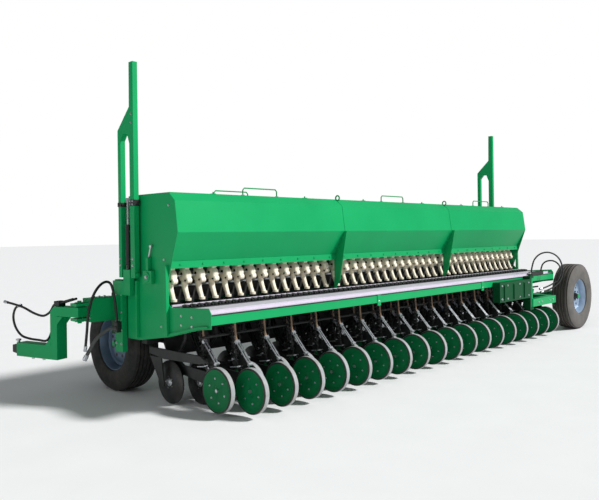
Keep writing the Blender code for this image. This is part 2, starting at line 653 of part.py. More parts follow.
def field_wheels():
    for side, word in ((-1, "left"), (1, "right")):
        road_wheel(f"{word}_field", (side * FIELD_WHEEL_X, FIELD_WHEEL_Y, TYRE_AXLE_Z), "X")
        x0, x1 = side * ARM_X - ARM_WIDTH / 2, side * ARM_X + ARM_WIDTH / 2
        arm = side_plate(f"{word}_wheel_arm", [
            (ARM_PIVOT_Y - 0.045, ARM_PIVOT_Z - 0.03), (ARM_PIVOT_Y - 0.02, ARM_PIVOT_Z - 0.055),
            (FIELD_WHEEL_Y - 0.03, TYRE_AXLE_Z - 0.06), (FIELD_WHEEL_Y + 0.05, TYRE_AXLE_Z - 0.05),
            (FIELD_WHEEL_Y + 0.06, TYRE_AXLE_Z + 0.04), (ARM_PIVOT_Y + 0.09, ARM_PIVOT_Z + 0.03),
            (ARM_PIVOT_Y + 0.02, ARM_PIVOT_Z + 0.05), (ARM_PIVOT_Y - 0.045, ARM_PIVOT_Z + 0.03)],
            x0, x1, PAINT)
        bore = round_bar(f"{word}_arm_bore", (side * ARM_X - 0.1, ARM_PIVOT_Y, ARM_PIVOT_Z),
                         (side * ARM_X + 0.1, ARM_PIVOT_Y, ARM_PIVOT_Z), 0.022 + PIN_PLAY, 12,
                         cutter=True)
        cut(arm, bore)
        axle = round_bar(f"{word}_stub_axle", (side * (ARM_X + 0.02), FIELD_WHEEL_Y, TYRE_AXLE_Z),
                         (side * (FIELD_WHEEL_X + 0.11), FIELD_WHEEL_Y, TYRE_AXLE_Z),
                         HUB_BORE - PIN_PLAY, 16, cutter=True)
        join(arm, axle)
        hinge_at(arm, (side * ARM_X, ARM_PIVOT_Y, ARM_PIVOT_Z))


# Drawbar --------------------------------------------------------------------

def drawbar_bracket():
    x1 = -(TRACK_END + GAP)
    body = block("drawbar_bracket", BRACKET_X0, x1, POST_Y1 + GAP, SIDE_Y1, BRACKET_Z0,
                 BRACKET_Z1, PAINT)
    for name, z0 in (("upper_ear", ARM_TOP + 0.012), ("lower_ear", ARM_BOTTOM - 0.037)):
        ear = block(name, HITCH_X - 0.06, BRACKET_X0 + 0.02, HITCH_Y - 0.06, HITCH_Y + 0.06, z0,
                    z0 + 0.025, cutter=True)
        join(body, ear)
    pin = round_bar("hitch_pin", (HITCH_X, HITCH_Y, ARM_BOTTOM - 0.06),
                    (HITCH_X, HITCH_Y, ARM_TOP + 0.06), 0.02, 12, cutter=True)
    join(body, pin)


def drawbar():
    """The cranked drawbar, drawn along its own length and then swung outward."""
    turn = Matrix.Translation((HITCH_X, HITCH_Y, 0)) @ Matrix.Rotation(radians(DRAWBAR_YAW), 4, "Z")
    outline = [
        (-0.045, ARM_BOTTOM), (DROP_START, ARM_BOTTOM), (DROP_START, TONGUE_BOTTOM),
        (TONGUE_END, TONGUE_BOTTOM), (TONGUE_END, TONGUE_TOP), (DROP_END + 0.03, TONGUE_TOP),
        (DROP_END, TONGUE_TOP + 0.03), (DROP_END, ARM_TOP - 0.05), (DROP_END - 0.05, ARM_TOP),
        (-0.045, ARM_TOP),
    ]
    upright = Matrix(((0, 0, 1, 0), (1, 0, 0, 0), (0, 1, 0, 0), (0, 0, 0, 1)))
    bar = as_mesh("drawbar", flat_curve(outline, DRAWBAR_WIDTH), turn @ upright, PAINT)
    bore = round_bar("drawbar_bore", (HITCH_X, HITCH_Y, ARM_BOTTOM - 0.1),
                     (HITCH_X, HITCH_Y, ARM_TOP + 0.1), 0.02 + PIN_PLAY, 12, cutter=True)
    cut(bar, bore)
    hinge_at(bar, (HITCH_X, HITCH_Y, ARM_TOP))
    eye = [(TONGUE_END + GAP, TONGUE_BOTTOM + 0.01), (TONGUE_END + 0.09, TONGUE_BOTTOM + 0.03),
           (TONGUE_END + 0.09, TONGUE_TOP - 0.03), (TONGUE_END + GAP, TONGUE_TOP - 0.01)]
    hitch = as_mesh("tow_hitch", flat_curve(eye, 0.07), turn @ upright, BLACK_PAINT)
    hinge_at(hitch, (HITCH_X, HITCH_Y, ARM_TOP))
    drawbar_hoses(turn)


def drawbar_hoses(turn):
    """Two hoses clipped along the drawbar, looped at its tip."""
    clip_z = ARM_TOP + GAP
    base = block("drawbar_hoses", -0.04, 0.04, 0.22, 0.30, clip_z, clip_z + 0.05, HOSE)
    base.data.transform(turn)
    clipped = [(0.06, 0.075), (0.16, 0.05), (0.24, 0.028), (0.31, 0.01)]
    runs = (
        (-0.022, [(0.37, -0.06), (0.46, -0.10), (0.58, -0.08), (0.72, -0.03), (0.86, 0.0),
                  (0.99, 0.02)]),
        (0.022, [(0.37, -0.10), (0.40, -0.25), (0.47, -0.345), (0.60, -0.35), (0.74, -0.345),
                 (0.86, -0.32), (0.95, -0.24), (0.98, -0.14), (0.94, -0.05), (0.85, -0.02)]),
    )
    for number, (across, run) in enumerate(runs):
        route = [(across * (1 + 2 * max(0.0, along - 0.4)), along, clip_z + rise)
                 for along, rise in clipped + run]
        route = [turn @ Vector(point) for point in route]
        join(base, pipe(f"drawbar_hose_{number}", route, 0.012, cutter=True))
    hinge_at(base, (HITCH_X, HITCH_Y, ARM_TOP))


# Transport wheel ------------------------------------------------------------

def transport_bracket():
    """The box on the rear tube and the hinge plate at its end."""
    y0, y1 = TURN_Y - 0.055, TUBE_Y0 - GAP
    body = block("transport_bracket", TURN_BRACKET_X0, TURN_X - 0.08, y0, y1, 0.62,
                 TUBE_Z1 - 0.02, DARK_PAINT)
    plate = block("hinge_plate", TURN_X - 0.105, TURN_X - 0.07, y0, y1, 0.44, TUBE_Z1 + 0.02,
                  cutter=True)
    join(body, plate)
    for z0 in (0.44, TUBE_Z1 - 0.01):
        ear = block("hinge_ear", TURN_X - 0.09, TURN_X + 0.04, TURN_Y - 0.04, TURN_Y + 0.04, z0,
                    z0 + 0.03, cutter=True)
        join(body, ear)
    pin = round_bar("hinge_pin", (TURN_X, TURN_Y, 0.42), (TURN_X, TURN_Y, TUBE_Z1 + 0.05), 0.018,
                    12, cutter=True)
    join(body, pin)


def transport_arm():
    half = 0.05
    outline = [
        (TURN_X, TURN_Y - half), (TURN_ARM_JOG_X + half, TURN_Y - half),
        (TURN_ARM_JOG_X + half, TURN_ARM_Y - half), (TURN_WHEEL_X + 0.06, TURN_ARM_Y - half),
        (TURN_WHEEL_X + 0.06, TURN_ARM_Y + half), (TURN_ARM_JOG_X - half, TURN_ARM_Y + half),
        (TURN_ARM_JOG_X - half, TURN_Y + half), (TURN_X, TURN_Y + half),
    ]
    arm = level_plate("transport_arm", outline, TURN_ARM_Z0, TURN_ARM_Z1, PAINT)
    barrel = round_bar("turn_barrel", (TURN_X, TURN_Y, 0.4755), (TURN_X, TURN_Y, TUBE_Z1 - 0.015),
                       TURN_BARREL, 12, cutter=True)
    join(arm, barrel)
    axle = round_bar("transport_axle", (TURN_WHEEL_X, TURN_ARM_Y, TURN_AXLE_Z),
                     (TURN_WHEEL_X, TURN_WHEEL_Y - 0.11, TURN_AXLE_Z),
                     HUB_BORE - PIN_PLAY, 16, cutter=True)
    join(arm, axle)
    bore = round_bar("turn_bore", (TURN_X, TURN_Y, 0.3), (TURN_X, TURN_Y, 1.2), 0.018 + PIN_PLAY,
                     12, cutter=True)
    cut(arm, bore)
    hinge_at(arm, (TURN_X, TURN_Y, TURN_ARM_Z1))
    road_wheel("transport", (TURN_WHEEL_X, TURN_WHEEL_Y, TURN_AXLE_Z), "Y", TURN_TYRE_RADIUS)


# Hoses on the frame ---------------------------------------------------------

def frame_hoses():
    """The hose bundle at the left post and the two loops at the right end."""
    x = -(TRACK_END + POST_THICK)
    y = POST_Y0 + 0.045
    foot = block("left_hoses", x - 0.05, x - GAP, y - 0.03, y + 0.03, 0.66, 0.76, HOSE)
    drop = [(x - 0.03, y, 0.74), (x - 0.05, y, 0.95), (x - 0.09, y, 1.12), (x - 0.17, y, 1.14),
            (x - 0.26, y, 1.05), (x - 0.32, y, 0.88), (x - 0.34, y, 0.70), (x - 0.36, y, 0.52)]
    swag = [(x - 0.02, y, 0.70), (x - 0.12, y, 0.70), (x - 0.24, y, 0.63), (x - 0.32, y, 0.52),
            (x - 0.37, y, 0.44)]
    join(foot, pipe("hose_drop", drop, 0.013, cutter=True),
         pipe("hose_swag", swag, 0.018, cutter=True))
    clamp_z = TUBE_Z1 + GAP + 0.02
    clamp = block("transport_hoses", 2.62, 3.01, TUBE_Y0, TUBE_Y1, clamp_z, clamp_z + 0.045, HOSE)
    low = block("transport_hose_foot", 2.62, 3.01, TUBE_Y0, TUBE_Y0 + 0.008, TUBE_Z1 + GAP,
                clamp_z + 0.005, cutter=True)
    join(clamp, low)
    outer = [(2.65, 0.07, 0.95), (2.66, 0.06, 1.04), (2.70, 0.04, 1.15), (2.77, -0.015, 1.23),
             (2.86, -0.09, 1.255), (2.93, -0.17, 1.22), (2.97, -0.23, 1.14), (2.98, -0.26, 1.03),
             (2.955, -0.27, 0.92), (2.89, -0.25, 0.82), (2.80, -0.20, 0.745), (2.70, -0.14, 0.70),
             (2.60, -0.09, 0.68)]
    inner = [(2.98, 0.07, 0.95), (2.985, 0.062, 1.01), (2.99, 0.04, 1.07), (3.0, -0.005, 1.11),
             (3.01, -0.065, 1.125), (3.015, -0.13, 1.115), (3.015, -0.19, 1.07),
             (3.005, -0.225, 1.0), (2.975, -0.225, 0.91), (2.91, -0.205, 0.835),
             (2.82, -0.16, 0.78), (2.72, -0.105, 0.74), (2.62, -0.065, 0.72)]
    for number, route in enumerate((outer, inner)):
        join(clamp, pipe(f"transport_hose_{number}", route, 0.012, cutter=True))


hopper()
front_beam()
rear_tube()
deck()
ends()
openers()
field_wheels()
drawbar_bracket()
drawbar()
transport_bracket()
transport_arm()
frame_hoses()
centre_on_floor()
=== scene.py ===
"""Looks for the seed drill, around its CAD frame.

Shapes are drawn in the machine's own frame (X from its middle, Y from the rear press
axle, Z from the ground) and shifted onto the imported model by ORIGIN.
"""
from math import cos, pi, radians, sin

import bmesh
import bpy
from mathutils import Matrix, Vector


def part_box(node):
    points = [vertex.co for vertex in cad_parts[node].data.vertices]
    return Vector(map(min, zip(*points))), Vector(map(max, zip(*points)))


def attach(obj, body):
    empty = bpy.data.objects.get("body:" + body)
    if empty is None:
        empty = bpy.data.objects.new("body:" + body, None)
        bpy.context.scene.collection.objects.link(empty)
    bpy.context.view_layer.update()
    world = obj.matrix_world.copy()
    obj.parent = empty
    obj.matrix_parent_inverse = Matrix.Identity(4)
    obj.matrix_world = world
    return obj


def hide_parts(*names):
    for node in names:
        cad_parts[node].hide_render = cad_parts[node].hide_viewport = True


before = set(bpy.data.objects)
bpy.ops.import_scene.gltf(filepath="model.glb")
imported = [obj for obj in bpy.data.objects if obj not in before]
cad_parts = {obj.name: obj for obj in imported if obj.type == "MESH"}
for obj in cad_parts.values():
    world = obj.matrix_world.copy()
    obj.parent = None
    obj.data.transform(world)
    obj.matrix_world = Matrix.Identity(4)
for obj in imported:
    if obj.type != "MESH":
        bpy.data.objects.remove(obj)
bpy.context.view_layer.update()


# Places read from the CAD ------------------------------------------------------

def middle_of(node):
    low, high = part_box(node)
    return (low + high) / 2


HOPPER_MIDDLE = middle_of("hopper_middle")
REAR_AXLE = middle_of("rear_press_wheels")
ORIGIN = Vector((HOPPER_MIDDLE.x, REAR_AXLE.y, 0.0))


def local_box(node):
    """A CAD node's corners in the machine's own frame."""
    low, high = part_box(node)
    return low - ORIGIN, high - ORIGIN


def local_middle(node):
    low, high = local_box(node)
    return (low + high) / 2


HALF_LENGTH = local_box("hopper_right")[1].x
SECTION = HALF_LENGTH * 2 / 3
SIDES = (("left", -1), ("right", 1))
SECTIONS = (("left", -SECTION), ("middle", 0.0), ("right", SECTION))
METERS_PER_SECTION = 14
METER_PITCH = 0.158
ROWS = 18
SHORT_ROWS = 16
CUPS = 84
CUP_STEP = 0.079
ROW_STEP = 0.35
GANG_STUB = 0.07
TYRE_RADIUS = 0.4825
TURN_TYRE_RADIUS = 0.52
YAW = radians(16.0)


# Camera and light --------------------------------------------------------------

CAMERA_PLACE = (-6.655, -4.155, 1.565)
CAMERA_AZIMUTH = 44.08
CAMERA_LENS = 38.89
CAMERA_ROLL = -0.747
CAMERA_SHIFT = -0.0254


def link(made):
    bpy.context.scene.collection.objects.link(made)


def add_camera():
    data = bpy.data.cameras.new("camera")
    data.lens = CAMERA_LENS
    data.sensor_width = 36.0
    data.shift_y = CAMERA_SHIFT
    data.clip_end = 500.0
    camera = bpy.data.objects.new("camera", data)
    turn = Matrix.Rotation(radians(CAMERA_AZIMUTH - 90.0), 4, "Z")
    level = Matrix.Rotation(radians(90.0), 4, "X")
    roll = Matrix.Rotation(radians(CAMERA_ROLL), 4, "Z")
    camera.matrix_world = Matrix.Translation(Vector(CAMERA_PLACE) + ORIGIN) @ turn @ level @ roll
    link(camera)
    bpy.context.scene.camera = camera


def add_sun(name, direction, strength, angle):
    data = bpy.data.lights.new(name, "SUN")
    data.energy = strength
    data.angle = radians(angle)
    lamp = bpy.data.objects.new(name, data)
    lamp.rotation_euler = Vector(direction).to_track_quat("-Z", "Y").to_euler()
    link(lamp)


def add_light():
    world = bpy.data.worlds.new("studio")
    world.use_nodes = True
    nodes = world.node_tree.nodes
    links = world.node_tree.links
    seen = nodes["Background"]
    seen.inputs["Color"].default_value = (1.0, 1.0, 1.0, 1.0)
    seen.inputs["Strength"].default_value = 1.0
    fill = nodes.new("ShaderNodeBackground")
    fill.inputs["Color"].default_value = (0.93, 0.97, 1.0, 1.0)
    fill.inputs["Strength"].default_value = 0.24
    path = nodes.new("ShaderNodeLightPath")
    mix = nodes.new("ShaderNodeMixShader")
    links.new(path.outputs["Is Camera Ray"], mix.inputs[0])
    links.new(fill.outputs[0], mix.inputs[1])
    links.new(seen.outputs[0], mix.inputs[2])
    links.new(mix.outputs[0], nodes["World Output"].inputs["Surface"])
    bpy.context.scene.world = world
    bpy.context.scene.view_settings.view_transform = "Standard"
    add_sun("key", (-0.40, 0.68, -0.62), 3.9, 8.0)
    add_sun("rim", (0.9, 0.2, -0.5), 0.3, 30.0)


def add_floor():
    shape = bmesh.new()
    bmesh.ops.create_grid(shape, x_segments=1, y_segments=1, size=120.0)
    mesh = bpy.data.meshes.new("floor")
    shape.to_mesh(mesh)
    shape.free()
    floor = bpy.data.objects.new("floor", mesh)
    floor.location = (0.0, 0.0, -0.001)
    link(floor)
    mesh.materials.append(surface("floor_white", (0.86, 0.86, 0.86), 0.9, vary=0.01, bump=0.0))


# Materials ---------------------------------------------------------------------

def linear(red, green, blue):
    """A display colour, 0 to 255, as linear light."""
    made = []
    for value in (red / 255, green / 255, blue / 255):
        made.append(value / 12.92 if value <= 0.04045 else ((value + 0.055) / 1.055) ** 2.4)
    return tuple(made)


def noise(material, place, scale, detail):
    made = material.node_tree.nodes.new("ShaderNodeTexNoise")
    made.inputs["Scale"].default_value = scale
    made.inputs["Detail"].default_value = detail
    material.node_tree.links.new(place.outputs["Object"], made.inputs["Vector"])
    return made


def surface(name, colour, roughness, metallic=0.0, vary=0.12, scale=2.5, bump=0.15,
            bump_scale=60.0, coat=0.0, dust=None, dust_share=0.0, dust_scale=5.0, shine=0.5):
    """A procedural finish: mottled colour, uneven gloss, fine bump and patches of dust or wear."""
    made = bpy.data.materials.new(name)
    made.use_nodes = True
    nodes = made.node_tree.nodes
    links = made.node_tree.links
    shader = nodes["Principled BSDF"]
    shader.inputs["Metallic"].default_value = metallic
    shader.inputs["Specular IOR Level"].default_value = shine
    shader.inputs["Coat Weight"].default_value = coat
    shader.inputs["Coat Roughness"].default_value = 0.12
    place = nodes.new("ShaderNodeTexCoord")
    cloud = noise(made, place, scale, 5.0)
    ramp = nodes.new("ShaderNodeValToRGB")
    ramp.color_ramp.elements[0].position = 0.3
    ramp.color_ramp.elements[1].position = 0.7
    ramp.color_ramp.elements[0].color = (*[part * (1 - vary) for part in colour], 1.0)
    ramp.color_ramp.elements[1].color = (*[min(1.0, part * (1 + vary)) for part in colour], 1.0)
    links.new(cloud.outputs["Fac"], ramp.inputs["Fac"])
    shown = ramp.outputs["Color"]
    if dust:
        patch = noise(made, place, dust_scale, 9.0)
        patch.inputs["Roughness"].default_value = 0.7
        share = nodes.new("ShaderNodeMapRange")
        share.inputs["From Min"].default_value = 0.42
        share.inputs["From Max"].default_value = 0.72
        share.inputs["To Max"].default_value = dust_share
        links.new(patch.outputs["Fac"], share.inputs["Value"])
        mix = nodes.new("ShaderNodeMixRGB")
        mix.inputs["Color2"].default_value = (*dust, 1.0)
        links.new(share.outputs["Result"], mix.inputs["Fac"])
        links.new(shown, mix.inputs["Color1"])
        shown = mix.outputs["Color"]
    links.new(shown, shader.inputs["Base Color"])
    gloss = nodes.new("ShaderNodeMapRange")
    gloss.inputs["To Min"].default_value = max(0.04, roughness - 0.08)
    gloss.inputs["To Max"].default_value = min(1.0, roughness + 0.10)
    links.new(cloud.outputs["Fac"], gloss.inputs["Value"])
    links.new(gloss.outputs["Result"], shader.inputs["Roughness"])
    if bump > 0:
        grain = noise(made, place, bump_scale, 4.0)
        relief = nodes.new("ShaderNodeBump")
        relief.inputs["Strength"].default_value = bump
        relief.inputs["Distance"].default_value = 0.002
        links.new(grain.outputs["Fac"], relief.inputs["Height"])
        links.new(relief.outputs["Normal"], shader.inputs["Normal"])
    return made


def add_tread_pattern(material, scale, strength):
    """Raised dots, as on a non-slip sheet."""
    nodes = material.node_tree.nodes
    links = material.node_tree.links
    place = nodes.new("ShaderNodeTexCoord")
    dots = nodes.new("ShaderNodeTexVoronoi")
    dots.inputs["Scale"].default_value = scale
    dots.inputs["Randomness"].default_value = 0.0
    links.new(place.outputs["Object"], dots.inputs["Vector"])
    raised = nodes.new("ShaderNodeBump")
    raised.inputs["Strength"].default_value = strength
    raised.inputs["Distance"].default_value = 0.004
    raised.invert = True
    shader = nodes["Principled BSDF"]
    under = shader.inputs["Normal"].links[0].from_socket
    links.new(dots.outputs["Distance"], raised.inputs["Height"])
    links.new(under, raised.inputs["Normal"])
    links.new(raised.outputs["Normal"], shader.inputs["Normal"])


SOIL = linear(150, 130, 105)
GREEN = surface("green_paint", (0.004, 0.34, 0.105), 0.36, vary=0.07, scale=1.4, bump=0.06,
                bump_scale=90.0, coat=0.04, dust=(0.01, 0.38, 0.14), dust_share=0.12, shine=0.16)
# Painted shade: the green paint darkened for the parts that sit in the machine's shadow (side
# rails, transport bracket and its ribs).
SHADED_GREEN = surface("dark_green_paint", (0.001, 0.065, 0.020), 0.44, vary=0.14, scale=2.0,
                     bump=0.08, dust=(0.003, 0.08, 0.027), dust_share=0.25, shine=0.14)
PRESS_GREEN = surface("press_green", (0.002, 0.15, 0.048), 0.42, vary=0.12, scale=6.0,
                      bump=0.08, dust=(0.01, 0.15, 0.06), dust_share=0.3,
                      dust_scale=14.0, shine=0.16)
BLACK = surface("black_paint", linear(19, 21, 23), 0.42, vary=0.3, scale=5.0, bump=0.12,
                dust=linear(72, 70, 64), dust_share=0.28, dust_scale=11.0)
TREAD = surface("press_tread", linear(158, 162, 164), 0.7, vary=0.14, scale=16.0, bump=0.4,
                bump_scale=120.0, dust=SOIL, dust_share=0.35, dust_scale=20.0)
RUBBER = surface("tyre_rubber", linear(34, 34, 35), 0.78, vary=0.25, scale=5.0, bump=0.45,
                 bump_scale=140.0, dust=linear(112, 104, 92), dust_share=0.3, dust_scale=8.0)
DUSTY_RUBBER = surface("dusty_rubber", linear(92, 90, 88), 0.88, vary=0.2, scale=6.0,
                       bump=0.5, bump_scale=140.0, dust=linear(120, 112, 102),
                       dust_share=0.5, dust_scale=7.0)
DARK_TREAD = surface("dark_tread", linear(44, 36, 32), 0.75, vary=0.3, scale=9.0, bump=0.5,
                     bump_scale=140.0, dust=linear(84, 70, 60), dust_share=0.3)
RIM = surface("rim_silver", linear(160, 182, 206), 0.36, metallic=0.4, vary=0.08, scale=7.0,
              bump=0.08, dust=linear(128, 130, 128), dust_share=0.25, dust_scale=10.0)
# Painted shade: the blue-grey rim finish, set darker than the transport rim because the field
# wheels sit in shadow.
SHADED_FIELD_RIM = surface("rim_blue_grey_shaded", linear(96, 116, 140), 0.4, metallic=0.4, vary=0.1,
                    scale=7.0, bump=0.08, dust=linear(96, 98, 96), dust_share=0.3,
                    dust_scale=10.0)
STEEL = surface("bright_steel", linear(198, 202, 206), 0.28, metallic=0.85, vary=0.12,
                scale=18.0, bump=0.1, dust=linear(120, 112, 100), dust_share=0.3,
                dust_scale=16.0)
DISC_STEEL = surface("disc_steel", linear(52, 54, 56), 0.34, metallic=0.6, vary=0.2, scale=8.0,
                     bump=0.12, dust=linear(120, 110, 96), dust_share=0.3, dust_scale=9.0)
CREAM = surface("cream_plastic", linear(255, 244, 222), 0.42, vary=0.05, scale=14.0, bump=0.15,
                bump_scale=160.0, dust=linear(214, 184, 140), dust_share=0.3, dust_scale=24.0)
TAN = surface("tan_tube", linear(150, 122, 98), 0.55, vary=0.18, scale=12.0, bump=0.2,
              dust=linear(84, 66, 52), dust_share=0.4, dust_scale=18.0)
DECK = surface("galvanised_deck", linear(216, 208, 224), 0.46, metallic=0.15, vary=0.07,
               scale=5.0, bump=0.15, dust=linear(176, 168, 170), dust_share=0.4)
HOSE = surface("hose_rubber", linear(22, 22, 24), 0.5, vary=0.25, scale=12.0, bump=0.3,
               bump_scale=200.0, dust=linear(70, 68, 64), dust_share=0.25, dust_scale=18.0)
GREY_HOSE = surface("dusty_hose", linear(92, 92, 92), 0.6, vary=0.2, scale=12.0, bump=0.3,
                    bump_scale=200.0, dust=linear(130, 126, 120), dust_share=0.3,
                    dust_scale=18.0)
add_tread_pattern(DECK, 26.0, 0.55)


# Shape building ----------------------------------------------------------------

class Shape:
    """One mesh, gathered from simple solids drawn in the machine's own frame."""

    def __init__(self):
        self.mesh = bmesh.new()

    def block(self, x0, x1, y0, y1, z0, z1, turn=0.0):
        size = Matrix.Diagonal((x1 - x0, y1 - y0, z1 - z0, 1.0))
        middle = Vector(((x0 + x1) / 2, (y0 + y1) / 2, (z0 + z1) / 2))
        place = Matrix.Translation(middle) @ Matrix.Rotation(turn, 4, "X") @ size
        bmesh.ops.create_cube(self.mesh, size=1.0, matrix=place)
        return self

    def rod(self, start, end, radius, sides=12, far_radius=None):
        start, end = Vector(start), Vector(end)
        along = end - start
        turn = along.to_track_quat("Z", "Y").to_matrix().to_4x4()
        place = Matrix.Translation((start + end) / 2) @ turn
        bmesh.ops.create_cone(self.mesh, cap_ends=True, segments=sides, radius1=radius,
                              radius2=radius if far_radius is None else far_radius,
                              depth=along.length, matrix=place)
        return self

    def turn(self, profile, centre, axis, steps, closed=False):
        """A turned solid: the profile gives (place along the axis, radius)."""
        basis = {"X": ((0, 1, 0), (0, 0, 1), (1, 0, 0)), "Y": ((0, 0, 1), (1, 0, 0), (0, 1, 0)),
                 "Z": ((1, 0, 0), (0, 1, 0), (0, 0, 1))}[axis]
        across, up, along = (Vector(direction) for direction in basis)
        centre = Vector(centre)
        rings = []
        for place, radius in profile:
            if radius <= 0:
                rings.append([self.mesh.verts.new(centre + along * place)] * steps)
                continue
            ring = []
            for step in range(steps):
                angle = 2 * pi * step / steps
                spoke = across * cos(angle) + up * sin(angle)
                ring.append(self.mesh.verts.new(centre + along * place + spoke * radius))
            rings.append(ring)
        pairs = list(zip(rings, rings[1:]))
        if closed:
            pairs.append((rings[-1], rings[0]))
        for near, far in pairs:
            for step in range(steps):
                after = (step + 1) % steps
                corners = []
                for corner in (near[step], near[after], far[after], far[step]):
                    if corner not in corners:
                        corners.append(corner)
                if len(corners) > 2:
                    self.mesh.faces.new(corners)
        return self

    def outline(self, points, place):
        """A flat outline, (across, up), given thickness by place(across, up, side)."""
        near = [self.mesh.verts.new(place(a, b, 0)) for a, b in points]
        far = [self.mesh.verts.new(place(a, b, 1)) for a, b in points]
        self.mesh.faces.new(near)
        self.mesh.faces.new(list(reversed(far)))
        for index in range(len(points)):
            after = (index + 1) % len(points)
            self.mesh.faces.new((near[after], near[index], far[index], far[after]))
        return self

    def plate(self, points, x0, x1):
        """An outline in the Y-Z plane."""
        return self.outline(points, lambda a, b, side: (x1 if side else x0, a, b))

    def sweep(self, points, radius, sides=8):
        """A round tube along points; radius is one number or one for each point."""
        points = [Vector(point) for point in points]
        radii = radius if isinstance(radius, (list, tuple)) else [radius] * len(points)
        rings = []
        across = None
        for index, point in enumerate(points):
            before = points[max(index - 1, 0)]
            after = points[min(index + 1, len(points) - 1)]
            along = (after - before).normalized()
            if across is None:
                across = along.orthogonal().normalized()
            across = (across - along * across.dot(along)).normalized()
            up = along.cross(across)
            ring = []
            for side in range(sides):
                angle = 2 * pi * side / sides
                spoke = across * cos(angle) + up * sin(angle)
                ring.append(self.mesh.verts.new(point + spoke * radii[index]))
            rings.append(ring)
        for near, far in zip(rings, rings[1:]):
            for side in range(sides):
                after = (side + 1) % sides
                self.mesh.faces.new((near[side], near[after], far[after], far[side]))
        self.mesh.faces.new(list(reversed(rings[0])))
        self.mesh.faces.new(rings[-1])
        return self

    def bolt(self, place, direction, size=0.011, height=0.008):
        """A hexagon head on its washer, its seat at place."""
        place, direction = Vector(place), Vector(direction).normalized()
        self.rod(place, place + direction * height * 0.25, size * 1.25, 12)
        self.rod(place, place + direction * height, size, 6)
        return self

    def moved(self, matrix):
        self.mesh.transform(matrix)
        return self


def smooth_route(route, steps):
    """Points along a Catmull-Rom curve through the route."""
    route = [Vector(point) for point in route]
    ends = [2 * route[0] - route[1]] + route + [2 * route[-1] - route[-2]]
    smooth = []
    for before, here, there, after in zip(ends, ends[1:], ends[2:], ends[3:]):
        for step in range(steps):
            t = step / steps
            smooth.append(0.5 * (2 * here + (there - before) * t
                                 + (2 * before - 5 * here + 4 * there - after) * t * t
                                 + (3 * here - before - 3 * there + after) * t ** 3))
    return smooth + [route[-1]]


def piece(name, shape, finish, body="frame", replaces=(), bevel=0.0, count=1, step=0.0,
          sharp=32.0):
    """Puts a shape into the scene as a piece of the object, with its finish as its material."""
    mesh = bpy.data.meshes.new(name)
    shape.mesh.transform(Matrix.Translation(ORIGIN))
    bmesh.ops.recalc_face_normals(shape.mesh, faces=shape.mesh.faces)
    shape.mesh.to_mesh(mesh)
    shape.mesh.free()
    mesh.shade_smooth()
    mesh.set_sharp_from_angle(angle=radians(sharp))
    mesh.materials.append(finish)
    made = bpy.data.objects.new(name, mesh)
    link(made)
    if bevel:
        round_edges(made, bevel)
    if count > 1:
        rows = made.modifiers.new("rows", "ARRAY")
        rows.count = count
        rows.use_relative_offset = False
        rows.use_constant_offset = True
        rows.constant_offset_displace = (step, 0.0, 0.0)
    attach(made, body)
    if replaces:
        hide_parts(*replaces)
    return made


def round_edges(made, width, segments=2):
    edge = made.modifiers.new("edges", "BEVEL")
    edge.width = width
    edge.segments = segments
    edge.limit_method = "ANGLE"
    edge.angle_limit = radians(35.0)
    edge.harden_normals = True


def finish_node(node, finish, bevel):
    """Gives a CAD node its material, and softens its edges."""
    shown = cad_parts[node]
    shown.data.materials.clear()
    shown.data.materials.append(finish)
    round_edges(shown, bevel)


# Frame parts that stay as CAD ----------------------------------------------------

def finish_frame():
    for word, _ in SECTIONS:
        finish_node(f"hopper_{word}", GREEN, 0.004)
        finish_node(f"lid_{word}", GREEN, 0.0015)
    for word, _ in SIDES:
        finish_node(f"{word}_end_plate", GREEN, 0.0015)
        finish_node(f"{word}_inner_support", GREEN, 0.0015)
        finish_node(f"{word}_marker_post", GREEN, 0.004)
        finish_node(f"{word}_marker", GREEN, 0.005)
        # The side rails take the darkened green: painted shade.
        finish_node(f"{word}_side_rail", SHADED_GREEN, 0.006)
        finish_node(f"{word}_wheel_arm", GREEN, 0.006)
    for node in ("front_beam", "rear_tube", "drawbar_bracket", "drawbar", "transport_arm"):
        finish_node(node, GREEN, 0.006)
    # The transport bracket takes the darkened green: painted shade.
    finish_node("transport_bracket", SHADED_GREEN, 0.006)
    finish_node("platform", DECK, 0.004)
    finish_node("tow_hitch", BLACK, 0.006)


# Hopper fittings -----------------------------------------------------------------

SHOULDER_Y, SHOULDER_Z = 0.525, 1.88
CREASE_Y, CREASE_Z = 0.485, 1.60
FLOOR_Y, FLOOR_Z = 0.64, 1.31
TOP_Z = 1.9565


